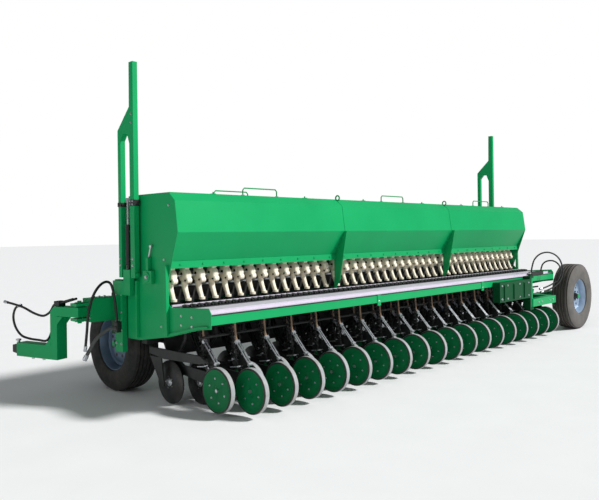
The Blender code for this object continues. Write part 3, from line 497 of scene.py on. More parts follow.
def hopper_fittings():
    """Joint straps, floor flange, lifting eyes and bolts on the hopper."""
    straps = Shape()
    bolts = Shape()
    for side in (-0.5, 0.5):
        x = side * SECTION
        band = 0.028
        slim = 0.004
        straps.plate([(FLOOR_Y - slim, FLOOR_Z), (CREASE_Y - slim, CREASE_Z),
                      (SHOULDER_Y - slim, SHOULDER_Z), (0.608, 1.9555), (0.612, 1.95),
                      (SHOULDER_Y + 0.001, SHOULDER_Z), (CREASE_Y + 0.001, CREASE_Z),
                      (FLOOR_Y + 0.001, FLOOR_Z)], x - band / 2, x + band / 2)
        for step in range(5):
            z = FLOOR_Z + 0.035 + step * 0.055
            y = FLOOR_Y + (CREASE_Y - FLOOR_Y) * (z - FLOOR_Z) / (CREASE_Z - FLOOR_Z)
            for across in (-0.035, 0.035):
                bolts.bolt((x + across, y - 0.001, z), (0, -0.88, -0.47), 0.008, 0.007)
        eye = Shape()
        eye.turn([(-0.006, 0.020), (-0.006, 0.034), (0.006, 0.034), (0.006, 0.020)],
                 (x, 0.60, 1.972), "X", 20, closed=True)
        piece(f"lifting_eye_{'left' if side < 0 else 'right'}", eye, GREEN, bevel=0.002)
    piece("hopper_straps", straps, GREEN, bevel=0.0015)
    flange = Shape()
    flange.block(-HALF_LENGTH + 0.002, HALF_LENGTH - 0.002, FLOOR_Y - 0.022, FLOOR_Y + 0.012,
                 FLOOR_Z - 0.011, FLOOR_Z - 0.001)
    flange.plate([(FLOOR_Y - 0.024, FLOOR_Z - 0.03), (FLOOR_Y - 0.018, FLOOR_Z - 0.03),
                  (FLOOR_Y - 0.018, FLOOR_Z + 0.03), (FLOOR_Y - 0.024, FLOOR_Z + 0.035)],
                 -HALF_LENGTH + 0.002, HALF_LENGTH - 0.002)
    piece("hopper_flange", flange, GREEN, bevel=0.0015)
    for index in range(27):
        x = -HALF_LENGTH + 0.11 + index * (2 * HALF_LENGTH - 0.22) / 26
        bolts.bolt((x, FLOOR_Y - 0.024, FLOOR_Z + 0.004), (0, -1, 0), 0.009, 0.008)
    piece("hopper_bolts", bolts, GREEN)


def lid_fittings():
    """Hinges, rear catches and a stiffening rib on each lid."""
    for word, x in SECTIONS:
        low, high = local_box(f"lid_{word}")
        trim = Shape()
        for across in (-0.8, 0.0, 0.8):
            trim.rod((x + across - 0.05, high.y - 0.006, TOP_Z + 0.007),
                     (x + across + 0.05, high.y - 0.006, TOP_Z + 0.007), 0.006, 10)
            trim.block(x + across - 0.05, x + across + 0.05, high.y - 0.06, high.y - 0.006,
                       TOP_Z, TOP_Z + 0.004)
        for across in (-0.62, 0.62):
            trim.block(x + across - 0.02, x + across + 0.02, low.y + 0.002, low.y + 0.05,
                       TOP_Z, TOP_Z + 0.005)
            trim.rod((x + across, low.y + 0.022, TOP_Z), (x + across, low.y + 0.022,
                                                          TOP_Z + 0.02), 0.007, 8)
        for y in (low.y + 0.16, high.y - 0.22):
            trim.block(low.x + 0.05, high.x - 0.05, y - 0.012, y + 0.012, TOP_Z, TOP_Z + 0.006)
        piece(f"lid_trim_{word}", trim, GREEN, f"lid_{word}", bevel=0.0015)
        feet = Shape()
        for across in (-0.23, 0.23):
            feet.rod((x + across, low.y + 0.05, TOP_Z), (x + across, low.y + 0.05,
                                                         TOP_Z + 0.008), 0.018, 14)
        for across in (-0.8, 0.0, 0.8):
            for shift in (-0.03, 0.03):
                feet.bolt((x + across + shift, high.y - 0.035, TOP_Z + 0.004), (0, 0, 1),
                          0.007, 0.005)
        piece(f"lid_bolts_{word}", feet, STEEL, f"lid_{word}")


# Seed meters ---------------------------------------------------------------------

METER_Y = 0.76


def meter_unit(x):
    """One meter: neck, round housing with its side lobe, and a curved chute."""
    z = FLOOR_Z
    y = METER_Y
    unit = Shape()
    unit.plate([(y + 0.035, z - 0.012), (y - 0.045, z - 0.012), (y - 0.05, z - 0.03),
                (y - 0.038, z - 0.06), (y + 0.04, z - 0.06)], x - 0.026, x + 0.026)
    unit.turn([(-0.036, 0.0), (-0.038, 0.034), (-0.033, 0.056), (-0.022, 0.064),
               (0.022, 0.064), (0.033, 0.056), (0.038, 0.034), (0.036, 0.0)],
              (x, y - 0.012, z - 0.105), "X", 20)
    unit.turn([(-0.030, 0.0), (-0.030, 0.022), (-0.022, 0.030), (0.022, 0.030),
               (0.030, 0.022), (0.030, 0.0)], (x, y - 0.062, z - 0.148), "X", 14)
    route = smooth_route([(x, y - 0.005, z - 0.13), (x, y - 0.002, z - 0.19),
                          (x, y - 0.02, z - 0.25), (x, y - 0.058, z - 0.33)], 4)
    sizes = [0.033 - 0.010 * index / (len(route) - 1) for index in range(len(route))]
    unit.sweep(route, sizes, 10)
    unit.turn([(-0.012, 0.0), (-0.012, 0.030), (0.012, 0.030), (0.012, 0.0)],
              (x, y - 0.058, z - 0.322), "Z", 14)
    return unit


def meter_details(x):
    z = FLOOR_Z
    y = METER_Y
    dark = Shape()
    for side in (-1, 1):
        near = x + side * 0.0375
        dark.rod((near, y - 0.012, z - 0.090), (near + side * 0.004, y - 0.012, z - 0.090),
                 0.014, 14)
        dark.rod((near - side * 0.004, y - 0.062, z - 0.148),
                 (near + side * 0.002, y - 0.062, z - 0.148), 0.009, 10)
    dark.turn([(0.0, 0.018), (0.0, 0.026), (0.075, 0.038), (0.078, 0.034), (0.006, 0.018)],
              (x, 0.70, 0.899), "Z", 14, closed=True)
    dark.block(x + 0.045, x + 0.085, y - 0.03, y + 0.03, z - 0.36, z - 0.30)
    dark.rod((x + 0.06, y - 0.05, z - 0.31), (x + 0.085, y - 0.05, z - 0.22), 0.008, 8)
    return dark


def seed_meters():
    for word, x in SECTIONS:
        first = x - METER_PITCH * (METERS_PER_SECTION - 1) / 2
        node = f"seed_meters_{word}"
        piece(f"meter_housings_{word}", meter_unit(first), CREAM, "frame",
              [node], bevel=0.002, count=METERS_PER_SECTION, step=METER_PITCH)
        piece(f"meter_cups_{word}", meter_details(first), BLACK,
              count=METERS_PER_SECTION, step=METER_PITCH)
    rods = Shape()
    for y, z, radius in ((METER_Y - 0.012, FLOOR_Z - 0.105, 0.009),
                         (METER_Y + 0.075, FLOOR_Z - 0.20, 0.012)):
        rods.rod((-HALF_LENGTH + 0.02, y, z), (HALF_LENGTH - 0.02, y, z), radius, 6)
    piece("meter_shafts", rods, STEEL)
    guard = Shape()
    guard.plate([(0.955, 0.955), (0.965, 0.955), (0.975, 1.302), (0.965, 1.302)],
                -HALF_LENGTH + 0.004, HALF_LENGTH - 0.004)
    piece("meter_guard", guard, BLACK)
    tray = Shape()
    tray.plate([(0.64, 0.86), (0.80, 0.90), (0.90, 0.94), (0.90, 0.946), (0.80, 0.906),
                (0.64, 0.866)], -HALF_LENGTH + 0.004, HALF_LENGTH - 0.004)
    piece("seed_tray", tray, BLACK)


# Openers -------------------------------------------------------------------------

FRONT_BAR = Vector((0, 1.12, 0.60))
REAR_BAR = Vector((0, 0.94, 0.69))
BAR_HALF = 0.04
PRESS_STEPS = 48
DISC_STEPS = 44


def row_places():
    """For each gang: its word, first row's middle, press axle and disc axle."""
    found = []
    for word in ("front", "rear"):
        low, _ = local_box(f"{word}_press_wheels")
        press = local_middle(f"{word}_press_wheels")
        disc = local_middle(f"{word}_opener_discs")
        found.append((word, low.x + GANG_STUB, press, disc))
    return found


def press_wheels(word, x, press):
    """A dished disc with a rubber tread, bolts and a bright hub, in each row."""
    body = f"{word}_press_wheels"
    centre = (x, press.y, press.z)
    disc = Shape()
    disc.turn([(-0.016, 0.0), (-0.016, 0.046), (-0.020, 0.052), (-0.012, 0.130),
               (-0.018, 0.168), (-0.026, 0.180), (-0.026, 0.187), (0.026, 0.187),
               (0.026, 0.180), (0.018, 0.168), (0.012, 0.130), (0.020, 0.052),
               (0.016, 0.046), (0.016, 0.0)], centre, "X", PRESS_STEPS)
    piece(f"{word}_press_discs", disc, PRESS_GREEN, body, [body],
          count=ROWS, step=ROW_STEP, sharp=40.0)
    tread = Shape()
    tread.turn([(-0.0262, 0.181), (-0.029, 0.186), (-0.026, 0.193), (-0.018, 0.1975),
                (-0.008, 0.1985), (0.008, 0.1985), (0.018, 0.1975), (0.026, 0.193),
                (0.029, 0.186), (0.0262, 0.181)], centre, "X", PRESS_STEPS, closed=True)
    piece(f"{word}_press_treads", tread, RUBBER, body, count=ROWS, step=ROW_STEP, sharp=50.0)
    band = Shape()
    band.turn([(-0.021, 0.1930), (-0.0205, 0.1978), (-0.008, 0.1992), (0.008, 0.1992),
               (0.0205, 0.1978), (0.021, 0.1930)], centre, "X", PRESS_STEPS, closed=True)
    piece(f"{word}_press_bands", band, TREAD, body, count=ROWS, step=ROW_STEP, sharp=50.0)
    hubs = Shape()
    for side in (-1, 1):
        for spoke in range(6):
            angle = 2 * pi * spoke / 6 + 0.3
            hubs.bolt((x + side * 0.0145, press.y + 0.105 * cos(angle),
                       press.z + 0.105 * sin(angle)), (side, 0, 0), 0.007, 0.007)
        hubs.rod((x + side * 0.015, press.y, press.z), (x + side * 0.026, press.y, press.z),
                 0.017, 6)
    hubs.rod((x + 0.02, press.y, press.z), (x + 0.055, press.y, press.z), 0.012, 10)
    piece(f"{word}_press_bolts", hubs, STEEL, body, count=ROWS, step=ROW_STEP)


def opener_discs(word, x, disc):
    """Two thin discs in each row that meet at their front lower edge."""
    body = f"{word}_opener_discs"
    blades = Shape()
    for side in (-1, 1):
        inner = side * 0.004
        middle = side * 0.018
        blades.turn([(inner + side * 0.009, 0.0), (inner + side * 0.009, 0.075),
                     (inner + side * 0.004, 0.085), (inner, 0.198), (inner + side * 0.001, 0.2025),
                     (inner + side * 0.004, 0.198), (middle, 0.075), (middle, 0.0)],
                    (x, disc.y, disc.z), "X", DISC_STEPS)
    piece(f"{word}_disc_blades", blades, DISC_STEEL, body, [body],
          count=ROWS, step=ROW_STEP, sharp=40.0)
    hubs = Shape()
    for side in (-1, 1):
        hubs.turn([(side * 0.017, 0.0), (side * 0.017, 0.040), (side * 0.027, 0.034),
                   (side * 0.030, 0.016), (side * 0.033, 0.012), (side * 0.033, 0.0)],
                  (x, disc.y, disc.z), "X", 20)
        for spoke in range(5):
            angle = 2 * pi * spoke / 5
            hubs.bolt((x + side * 0.0165, disc.y + 0.055 * cos(angle),
                       disc.z + 0.055 * sin(angle)), (side, 0, 0), 0.006, 0.006)
    piece(f"{word}_disc_hubs", hubs, STEEL, body, count=ROWS, step=ROW_STEP)


def coil(start, end, radius, wire, turns, shape):
    """A coil spring between two points."""
    start, end = Vector(start), Vector(end)
    along = end - start
    turn = along.to_track_quat("Z", "Y").to_matrix()
    steps = turns * 9
    points = []
    for step in range(steps + 1):
        t = step / steps
        angle = 2 * pi * turns * t
        spoke = turn @ Vector((radius * cos(angle), radius * sin(angle), 0.0))
        points.append(start + along * t + spoke)
    shape.sweep(points, wire, 5)


def opener_arms(word, x, press, disc, bar):
    """Black arm, parallel links, seed boot and toolbar clamp of each row."""
    arm_x = x + 0.042
    arm = Shape()
    arm.plate([(press.y - 0.034, press.z - 0.020), (press.y + 0.0, press.z - 0.034),
               (press.y + 0.05, press.z - 0.012), (disc.y - 0.14, 0.285),
               (disc.y - 0.05, disc.z - 0.045), (disc.y + 0.04, disc.z - 0.048),
               (disc.y + 0.065, disc.z + 0.01), (disc.y + 0.075, 0.34), (disc.y + 0.045, 0.43),
               (disc.y - 0.03, 0.45), (disc.y - 0.16, 0.375), (press.y + 0.13, 0.355),
               (press.y + 0.02, press.z + 0.04), (press.y - 0.025, press.z + 0.025)],
              arm_x - 0.006, arm_x + 0.006)
    link_end_y = bar.y - 0.02
    for z0, z1 in ((0.41, bar.z + 0.045), (0.345, bar.z - 0.025)):
        start = Vector((arm_x, disc.y + 0.02, z0))
        end = Vector((arm_x, link_end_y, z1))
        for across in (-0.011, 0.011):
            shift = Vector((across, 0, 0))
            arm.rod(start + shift, end + shift, 0.010, 6)
    arm.block(arm_x - 0.022, arm_x + 0.022, bar.y - 0.052, bar.y + 0.052, bar.z - 0.052,
              bar.z + 0.052)
    arm.plate([(disc.y - 0.03, disc.z + 0.05), (disc.y - 0.10, disc.z + 0.02),
               (disc.y - 0.125, 0.07), (disc.y - 0.09, 0.055), (disc.y - 0.02, 0.14)],
              x - 0.003, x + 0.003)
    arm.block(x - 0.006, arm_x, disc.y - 0.045, disc.y - 0.015, disc.z + 0.03, disc.z + 0.055)
    arm.plate([(press.y + 0.04, 0.36), (press.y + 0.20, 0.355), (press.y + 0.235, 0.40),
               (press.y + 0.20, 0.52), (press.y + 0.14, 0.56), (press.y + 0.10, 0.50)],
              arm_x - 0.010, arm_x - 0.006)
    arm.plate([(press.y + 0.25, 0.40), (press.y + 0.31, 0.42), (press.y + 0.30, 0.60),
               (press.y + 0.24, 0.70), (press.y + 0.20, 0.68)], arm_x + 0.006, arm_x + 0.010)
    piece(f"{word}_opener_arms", arm, BLACK, "frame", [f"{word}_openers"],
          bevel=0.0015, count=ROWS, step=ROW_STEP)


def opener_bright_parts(word, x, press, disc):
    """Silver handle rods, pins and scrapers of each row."""
    arm_x = x + 0.042
    bright = Shape()
    foot = Vector((arm_x - 0.026, press.y + 0.035, 0.455))
    head = Vector((arm_x - 0.026, press.y + 0.20, 0.63))
    for across in (-0.014, 0.014):
        shift = Vector((across, 0, 0))
        bright.rod(foot + shift, head + shift, 0.0065, 8)
    bright.block(arm_x - 0.048, arm_x - 0.004, head.y - 0.014, head.y + 0.014, head.z - 0.012,
                 head.z + 0.012, turn=0.8)
    bright.block(arm_x - 0.048, arm_x - 0.004, foot.y - 0.010, foot.y + 0.010, foot.z - 0.012,
                 foot.z + 0.012, turn=0.8)
    bright.rod((arm_x - 0.07, press.y + 0.155, 0.425), (arm_x + 0.03, press.y + 0.155, 0.425),
               0.008, 8)
    bright.rod((arm_x - 0.07, press.y + 0.155, 0.425), (arm_x - 0.085, press.y + 0.235, 0.415),
               0.006, 8)
    for y, z in ((disc.y + 0.02, 0.41), (disc.y + 0.02, 0.345), (press.y + 0.165, 0.40),
                 (press.y + 0.28, 0.47), (press.y + 0.245, 0.66), (press.y + 0.15, 0.53)):
        bright.rod((arm_x - 0.022, y, z), (arm_x + 0.022, y, z), 0.009, 6)
    piece(f"{word}_handle_rods", bright, STEEL, count=SHORT_ROWS, step=ROW_STEP)


def opener_springs(word, x, press):
    arm_x = x + 0.042
    springs = Shape()
    low = Vector((arm_x - 0.034, press.y + 0.205, 0.47))
    high = Vector((arm_x - 0.034, press.y + 0.275, 0.80))
    coil(low, high, 0.021, 0.0048, 8, springs)
    springs.rod(low - Vector((0, 0.02, 0.06)), high + Vector((0, 0.01, 0.04)), 0.007, 8)
    piece(f"{word}_opener_springs", springs, BLACK, count=SHORT_ROWS, step=ROW_STEP, sharp=60.0)


def seed_tubes(word, x, press, disc):
    """Ribbed seed hoses from the meters' cups, and the thin tan tube beside them."""
    tube_x = x + 0.054
    top = (tube_x, 0.70, 0.90)
    ribbed = Shape()
    route = smooth_route([top, (tube_x, 0.66 + 0.25 * (disc.y - 0.47), 0.78),
                          (tube_x, (0.62 + disc.y) / 2, 0.60), (tube_x, disc.y + 0.03, 0.42)],
                         8)
    sizes = [0.0225 if index % 2 else 0.0185 for index in range(len(route))]
    ribbed.sweep(route, sizes, 8)
    ribbed.rod((tube_x, disc.y + 0.02, 0.44), (x + 0.048, disc.y - 0.125, 0.14), 0.016, 10, 0.012)
    piece(f"{word}_seed_hoses", ribbed, HOSE, count=ROWS, step=ROW_STEP, sharp=60.0)
    tan = Shape()
    low = (x + 0.014, press.y + 0.215, 0.64)
    high = (x + 0.010, press.y + 0.23, 0.845)
    tan.rod(low, high, 0.0095, 10)
    tan.rod((low[0], low[1], 0.62), (low[0], low[1], 0.66), 0.014, 10)
    tan.rod((high[0], high[1], 0.80), (high[0], high[1], 0.86), 0.015, 10)
    piece(f"{word}_tan_rods", tan, TAN, count=SHORT_ROWS, step=ROW_STEP)


def toolbars():
    bars = Shape()
    half = HALF_LENGTH - 0.05
    for _, y, z in (FRONT_BAR, REAR_BAR):
        bars.block(-half, half, y - BAR_HALF, y + BAR_HALF, z - BAR_HALF, z + BAR_HALF)
    for number in range(-2, 3):
        x = number * 0.55 * SECTION
        bars.plate([(1.09, 0.62), (1.15, 0.62), (1.17, 0.757), (1.07, 0.757)],
                   x - 0.02, x + 0.02)
        x += 0.20
        bars.plate([(0.91, 0.71), (0.97, 0.71), (1.10, 0.757), (1.06, 0.757)],
                   x - 0.02, x + 0.02)
    piece("opener_toolbars", bars, BLACK, bevel=0.006)
    brace = Shape()
    for y, z, size in ((0.36, 0.80, 0.022), (0.52, 0.76, 0.030), (0.27, 0.70, 0.012)):
        brace.rod((-HALF_LENGTH + 0.05, y, z), (HALF_LENGTH - 0.05, y, z), size, 12)
    piece("opener_cross_tubes", brace, BLACK)
    # Painted shade: black sheets between the two rows of openers, below the seed tray and on top
    # of the rear tube, which darken the gaps under the machine where shadow falls.
    back = Shape()
    inner = HALF_LENGTH - 0.19
    back.plate([(0.98, 0.44), (0.986, 0.44), (0.986, 0.645), (0.98, 0.645)], -inner, inner)
    back.plate([(0.84, 0.735), (0.846, 0.735), (0.90, 0.94), (0.894, 0.94)],
               -HALF_LENGTH + 0.004, HALF_LENGTH - 0.004)
    back.block(-HALF_LENGTH + 0.004, HALF_LENGTH - 0.004, 0.044, 0.114, 0.9056, 0.9172)
    piece("opener_shade_sheets", back, BLACK)


def openers():
    bars = {"front": FRONT_BAR, "rear": REAR_BAR}
    for word, x, press, disc in row_places():
        press_wheels(word, x, press)
        opener_discs(word, x, disc)
        opener_arms(word, x, press, disc, bars[word])
        opener_bright_parts(word, x, press, disc)
        opener_springs(word, x, press)
        seed_tubes(word, x, press, disc)
    toolbars()


# Road wheels ---------------------------------------------------------------------

TYRE_STEPS = 72


def tyre_profile(outer):
    """Half-width and radius round a ribbed implement tyre."""
    crown = outer - 0.0055
    tread = [(-0.108, crown - 0.004)]
    for groove in (-0.085, -0.045, 0.0, 0.045, 0.085):
        tread += [(groove - 0.007, crown), (groove - 0.004, crown - 0.016),
                  (groove + 0.004, crown - 0.016), (groove + 0.007, crown)]
    tread.append((0.108, crown - 0.004))
    wall = outer - 0.266
    left = [(-0.106, 0.266), (-0.132, 0.276)]
    for place, share in ((-0.1455, 0.23), (-0.1495, 0.46), (-0.1465, 0.64), (-0.138, 0.79),
                         (-0.130, 0.86), (-0.121, 0.93)):
        left.append((place, 0.266 + wall * share))
    right = [(-place, radius) for place, radius in reversed(left)]
    return left + tread + right


def road_wheel(word, body, centre, axis, outer, rubber, metal, face):
    """A ribbed tyre, a dished rim with bolts and a hub cap. face is the outer side."""
    tyre = Shape()
    tyre.turn(tyre_profile(outer), centre, axis, TYRE_STEPS, closed=True)
    outward = Vector((1, 0, 0)) if axis == "X" else Vector((0, 1, 0))
    across = Vector((0, 1, 0)) if axis == "X" else Vector((1, 0, 0))
    up = Vector((0, 0, 1))
    centre = Vector(centre)
    piece(f"{word}_tyre_visual", tyre, rubber, body, [f"{word}_tyre"], sharp=30.0)
    rim = Shape()
    rim.turn([(-0.112, 0.262), (-0.114, 0.270), (-0.108, 0.272), (-0.104, 0.262),
              (-0.055, 0.248), (0.055, 0.248), (0.104, 0.262), (0.108, 0.272),
              (0.114, 0.270), (0.112, 0.262), (0.060, 0.238), (face * 0.034, 0.232),
              (face * 0.026, 0.206), (face * 0.040, 0.168), (face * 0.040, 0.110),
              (face * 0.030, 0.088), (face * 0.030, 0.055), (face * 0.022, 0.055),
              (face * 0.022, 0.092), (face * 0.032, 0.114), (face * 0.032, 0.164),
              (face * 0.016, 0.208), (face * 0.020, 0.236), (-0.060, 0.238)],
             centre, axis, 56, closed=True)
    piece(f"{word}_rim_visual", rim, metal, body, [f"{word}_rim"], sharp=35.0)
    hub = Shape()
    hub.turn([(face * 0.022, 0.0), (face * 0.022, 0.052), (face * 0.060, 0.050),
              (face * 0.074, 0.040), (face * 0.088, 0.036), (face * 0.092, 0.026),
              (face * 0.092, 0.0)], centre, axis, 28)
    for spoke in range(6):
        angle = 2 * pi * spoke / 6
        place = centre + (across * cos(angle) + up * sin(angle)) * 0.075
        hub.bolt(place + outward * face * 0.029, outward * face, 0.012, 0.014)
    for hole in range(8):
        angle = 2 * pi * (hole + 0.5) / 8
        place = centre + (across * cos(angle) + up * sin(angle)) * 0.138
        hub.rod(place + outward * face * 0.0385, place + outward * face * 0.0415, 0.017, 16)
    piece(f"{word}_hub_visual", hub, BLACK, body, sharp=35.0)


def road_wheels():
    for word, side in SIDES:
        centre = local_middle(f"{word}_field_rim")
        # The field rims take the darkened rim finish: painted shade.
        road_wheel(f"{word}_field", f"{word}_field_wheel", centre, "X", TYRE_RADIUS, RUBBER,
                   SHADED_FIELD_RIM, side)
    centre = local_middle("transport_rim")
    road_wheel("transport", "transport_wheel", centre, "Y", TURN_TYRE_RADIUS, DUSTY_RUBBER, RIM,
               -1)
    band = Shape()
    crown = TURN_TYRE_RADIUS - 0.0047
    for inner, outer in ((-0.119, -0.094), (-0.076, -0.054), (-0.036, -0.009), (0.009, 0.036),
                         (0.054, 0.076), (0.094, 0.119)):
        drop = 0.004 if abs(inner + outer) > 0.2 else 0.0
        band.turn([(inner, crown - 0.012), (inner, crown - drop), (outer, crown - drop),
                   (outer, crown - 0.012)], centre, "Y", TYRE_STEPS, closed=True)
    piece("transport_tread_bands", band, DARK_TREAD, "transport_wheel", sharp=30.0)


# Markers and ends ------------------------------------------------------------------

MARKER_X = 3.42


def marker_cylinders():
    for word, _ in SIDES:
        low, high = local_box(f"{word}_marker_cylinder")
        x, y = (low.x + high.x) / 2, (low.y + high.y) / 2
        barrel = Shape()
        foot = low.z
        barrel.turn([(0.0, 0.0), (0.0, 0.018), (0.045, 0.018), (0.05, 0.0265), (0.07, 0.0265),
                     (0.07, 0.0245), (0.385, 0.0245), (0.385, 0.0275), (0.42, 0.0275),
                     (0.42, 0.0)], (x, y, foot), "Z", 20)
        barrel.rod((x, y - 0.022, foot + 0.10), (x, y - 0.045, foot + 0.10), 0.009, 10)
        barrel.rod((x, y - 0.022, foot + 0.36), (x, y - 0.045, foot + 0.36), 0.009, 10)
        piece(f"{word}_cylinder_barrel", barrel, BLACK, "frame",
              [f"{word}_marker_cylinder"], bevel=0.0015)
        rod = Shape()
        rod.turn([(0.415, 0.0), (0.415, 0.012), (0.625, 0.012), (0.625, 0.021), (0.665, 0.021),
                  (0.67, 0.016), (0.67, 0.0)], (x, y, foot), "Z", 20)
        piece(f"{word}_cylinder_rod", rod, STEEL)


def marker_fittings():
    """Clamps and hinge bolts on the markers."""
    for word, side in SIDES:
        body = f"{word}_marker"
        out = side * (MARKER_X + 0.025)
        inside = side * (MARKER_X - 0.025)
        clamp = Shape()
        x0, x1 = sorted((inside - side * 0.008, out + side * 0.006))
        clamp.block(x0, x1, 1.052, 1.138, 1.85, 1.91)
        clamp.block(x0, x1, 1.278, 1.342, 1.85, 1.89)
        piece(f"{word}_marker_clamps", clamp, BLACK, body, bevel=0.003)
        bolts = Shape()
        for y, z in ((1.075, 1.865), (1.115, 1.865), (1.075, 1.895), (1.115, 1.895),
                     (1.095, 1.30), (1.095, 1.36), (1.31, 1.30), (1.31, 1.36), (1.095, 2.62),
                     (1.095, 2.70)):
            bolts.bolt((out + side * (0.006 if z > 1.8 and z < 1.95 else 0.0), y, z),
                       (side, 0, 0), 0.009, 0.007)
        piece(f"{word}_marker_bolts", bolts, STEEL, body)


def end_fittings():
    """Levers, brackets and stiffeners on the end plates and posts."""
    for word, side in SIDES:
        face = side * (HALF_LENGTH + 0.0062)
        trim = Shape()
        x0, x1 = sorted((face, face + side * 0.034))
        trim.plate([(0.62, 0.69), (0.66, 0.685), (0.66, 1.30), (0.63, 1.32)], x0, x1)
        trim.plate([(1.10, 0.63), (1.13, 0.63), (1.13, 1.16), (1.10, 1.16)], x0, x1)
        x0, x1 = sorted((face, face + side * 0.016))
        trim.plate([(0.075, 0.805), (0.20, 0.79), (0.62, 0.692), (0.62, 0.712), (0.20, 0.81),
                    (0.075, 0.825)], x0, x1)
        piece(f"{word}_end_ribs", trim, GREEN, bevel=0.003)
        box = Shape()
        x0, x1 = sorted((face + side * 0.001, face + side * 0.043))
        box.block(x0, x1, 0.84, 0.98, 1.14, 1.26)
        box.rod((face, 0.91, 1.20), (face + side * 0.05, 0.91, 1.20), 0.045, 20)
        box.block(x0, x1, 0.89, 0.93, 1.26, 1.38)
        piece(f"{word}_drive_box", box, GREEN, bevel=0.004)
        knobs = Shape()
        knobs.bolt((face + side * 0.05, 0.91, 1.20), (side, 0, 0), 0.014, 0.010)
        knobs.rod((face + side * 0.02, 0.91, 1.38), (face + side * 0.02, 0.88, 1.47), 0.007, 10)
        knobs.rod((face + side * 0.02, 0.88, 1.47), (face + side * 0.02, 0.875, 1.49), 0.015, 12)
        for y, z in ((0.30, 0.80), (0.45, 0.80), (0.30, 0.88), (0.45, 0.88), (0.75, 0.76),
                     (0.70, 1.36), (0.62, 1.84), (1.15, 1.84)):
            knobs.bolt((face, y, z), (side, 0, 0), 0.009, 0.006)
        outer = side * (HALF_LENGTH + 0.0503)
        for z in (0.55, 0.68, 0.85, 1.02):
            for y in (1.355, 1.445):
                knobs.bolt((outer, y, z), (side, 0, 0), 0.011, 0.008)
        piece(f"{word}_end_bolts", knobs, STEEL)
        skid = Shape()
        x0, x1 = sorted((side * (HALF_LENGTH - 0.16), side * (HALF_LENGTH - 0.145)))
        skid.plate([(0.30, 0.47), (0.40, 0.445), (0.95, 0.425), (1.19, 0.455), (1.19, 0.52),
                    (0.90, 0.52), (0.40, 0.52)], x0, x1)
        skid.plate([(0.99, 0.435), (1.18, 0.435), (0.99, 0.15), (0.95, 0.17)], x0, x1)
        piece(f"{word}_end_link", skid, BLACK, bevel=0.004)


def deck_fittings():
    """Toe strip, brackets and bolts along the walkway and the rear tube."""
    strip = Shape()
    strip.block(-HALF_LENGTH + 0.01, HALF_LENGTH - 0.01, 0.602, 0.616, 0.9401, 0.962)
    strip.block(-HALF_LENGTH + 0.01, HALF_LENGTH - 0.01, 0.117, 0.129, 0.9401, 0.947)
    piece("deck_edges", strip, DECK, bevel=0.002)
    # A black strip over the far part of the deck, under the hopper's overhang, darkens that part
    # of the walkway.
    dark_strip = Shape()
    dark_strip.block(-HALF_LENGTH + 0.012, HALF_LENGTH - 0.012, 0.40, 0.600, 0.9402, 0.9460)
    piece("deck_dark_strip", dark_strip, BLACK, bevel=0.002)
    cup = Shape()
    start = -HALF_LENGTH + 0.05
    cup.turn([(0.0, 0.0), (0.0, 0.030), (0.020, 0.034), (0.026, 0.026), (0.026, 0.0)],
             (start, 0.46, 0.946), "Z", 12)
    cup.rod((start + 0.035, 0.42, 0.958), (start + 0.035, 0.53, 0.962), 0.009, 8)
    piece("deck_cups", cup, BLACK, bevel=0.002, count=CUPS, step=CUP_STEP)
    tabs = Shape()
    for x in (-1.12, 1.12):
        tabs.block(x - 0.03, x + 0.03, 0.036, 0.104, 0.9060, 0.912)
        tabs.plate([(0.034, 0.80), (0.0395, 0.80), (0.0395, 0.915), (0.034, 0.915)],
                   x - 0.03, x + 0.03)
    piece("rear_tube_tabs", tabs, GREEN, bevel=0.002)
    bolts = Shape()
    for index in range(24):
        x = -HALF_LENGTH + 0.15 + index * (2 * HALF_LENGTH - 0.3) / 23
        bolts.bolt((x, 0.15, 0.9401), (0, 0, 1), 0.008, 0.005)
    for x in (-1.12, 1.12):
        bolts.bolt((x, 0.034, 0.845), (0, -1, 0), 0.009, 0.006)
    piece("deck_bolts", bolts, STEEL)


# Drawbar ---------------------------------------------------------------------------

HITCH = Vector((-3.745, 1.54, 0.0))
SWING = Matrix.Translation(HITCH) @ Matrix.Rotation(YAW, 4, "Z")


def drawbar_fittings():
    """Bolts, gussets and the hitch clevis on the drawbar."""
    gusset = Shape()
    for across in (-0.0625, 0.0575):
        gusset.plate([(0.16, 0.822), (0.235, 0.822), (0.235, 0.745)], across, across + 0.005)
        gusset.plate([(0.325, 0.54), (0.40, 0.54), (0.325, 0.615)], across, across + 0.005)
    gusset.block(-0.055, 0.055, -0.02, 0.14, 0.9155, 0.921)
    gusset.moved(SWING)
    piece("drawbar_gussets", gusset, GREEN, "drawbar", bevel=0.002)
    bolts = Shape()
    for along in (0.45, 0.60):
        bolts.bolt((0.03, along, 0.4095), (0, 0, -1), 0.014, 0.018)
        bolts.bolt((-0.03, along, 0.4095), (0, 0, -1), 0.014, 0.018)
    bolts.rod((0.0, 0.845, 0.40), (0.0, 0.845, 0.55), 0.016, 14)
    bolts.rod((0.0, 0.845, 0.55), (0.0, 0.845, 0.565), 0.026, 14)
    bolts.moved(SWING)
    piece("drawbar_bolts", bolts, STEEL, "drawbar")
    plate = Shape()
    for z in (0.912 + 0.042, 0.78):
        plate.rod((HITCH.x, HITCH.y, z), (HITCH.x, HITCH.y, z + 0.006), 0.045, 24)
    plate.block(-3.60, -3.44, 1.48, 1.60, 0.9903, 0.996)
    piece("hitch_plates", plate, GREEN, bevel=0.002)
    studs = Shape()
    for x in (-3.575, -3.52, -3.465):
        for y in (1.50, 1.58):
            studs.bolt((x, y, 0.996), (0, 0, 1), 0.010, 0.008)
    for z in (0.81, 0.88, 0.95):
        studs.bolt((-3.6705, 1.485, z), (-1, 0, 0), 0.010, 0.008)
        studs.bolt((-3.6705, 1.60, z), (-1, 0, 0), 0.010, 0.008)
    piece("hitch_studs", studs, STEEL)


# Hoses -----------------------------------------------------------------------------

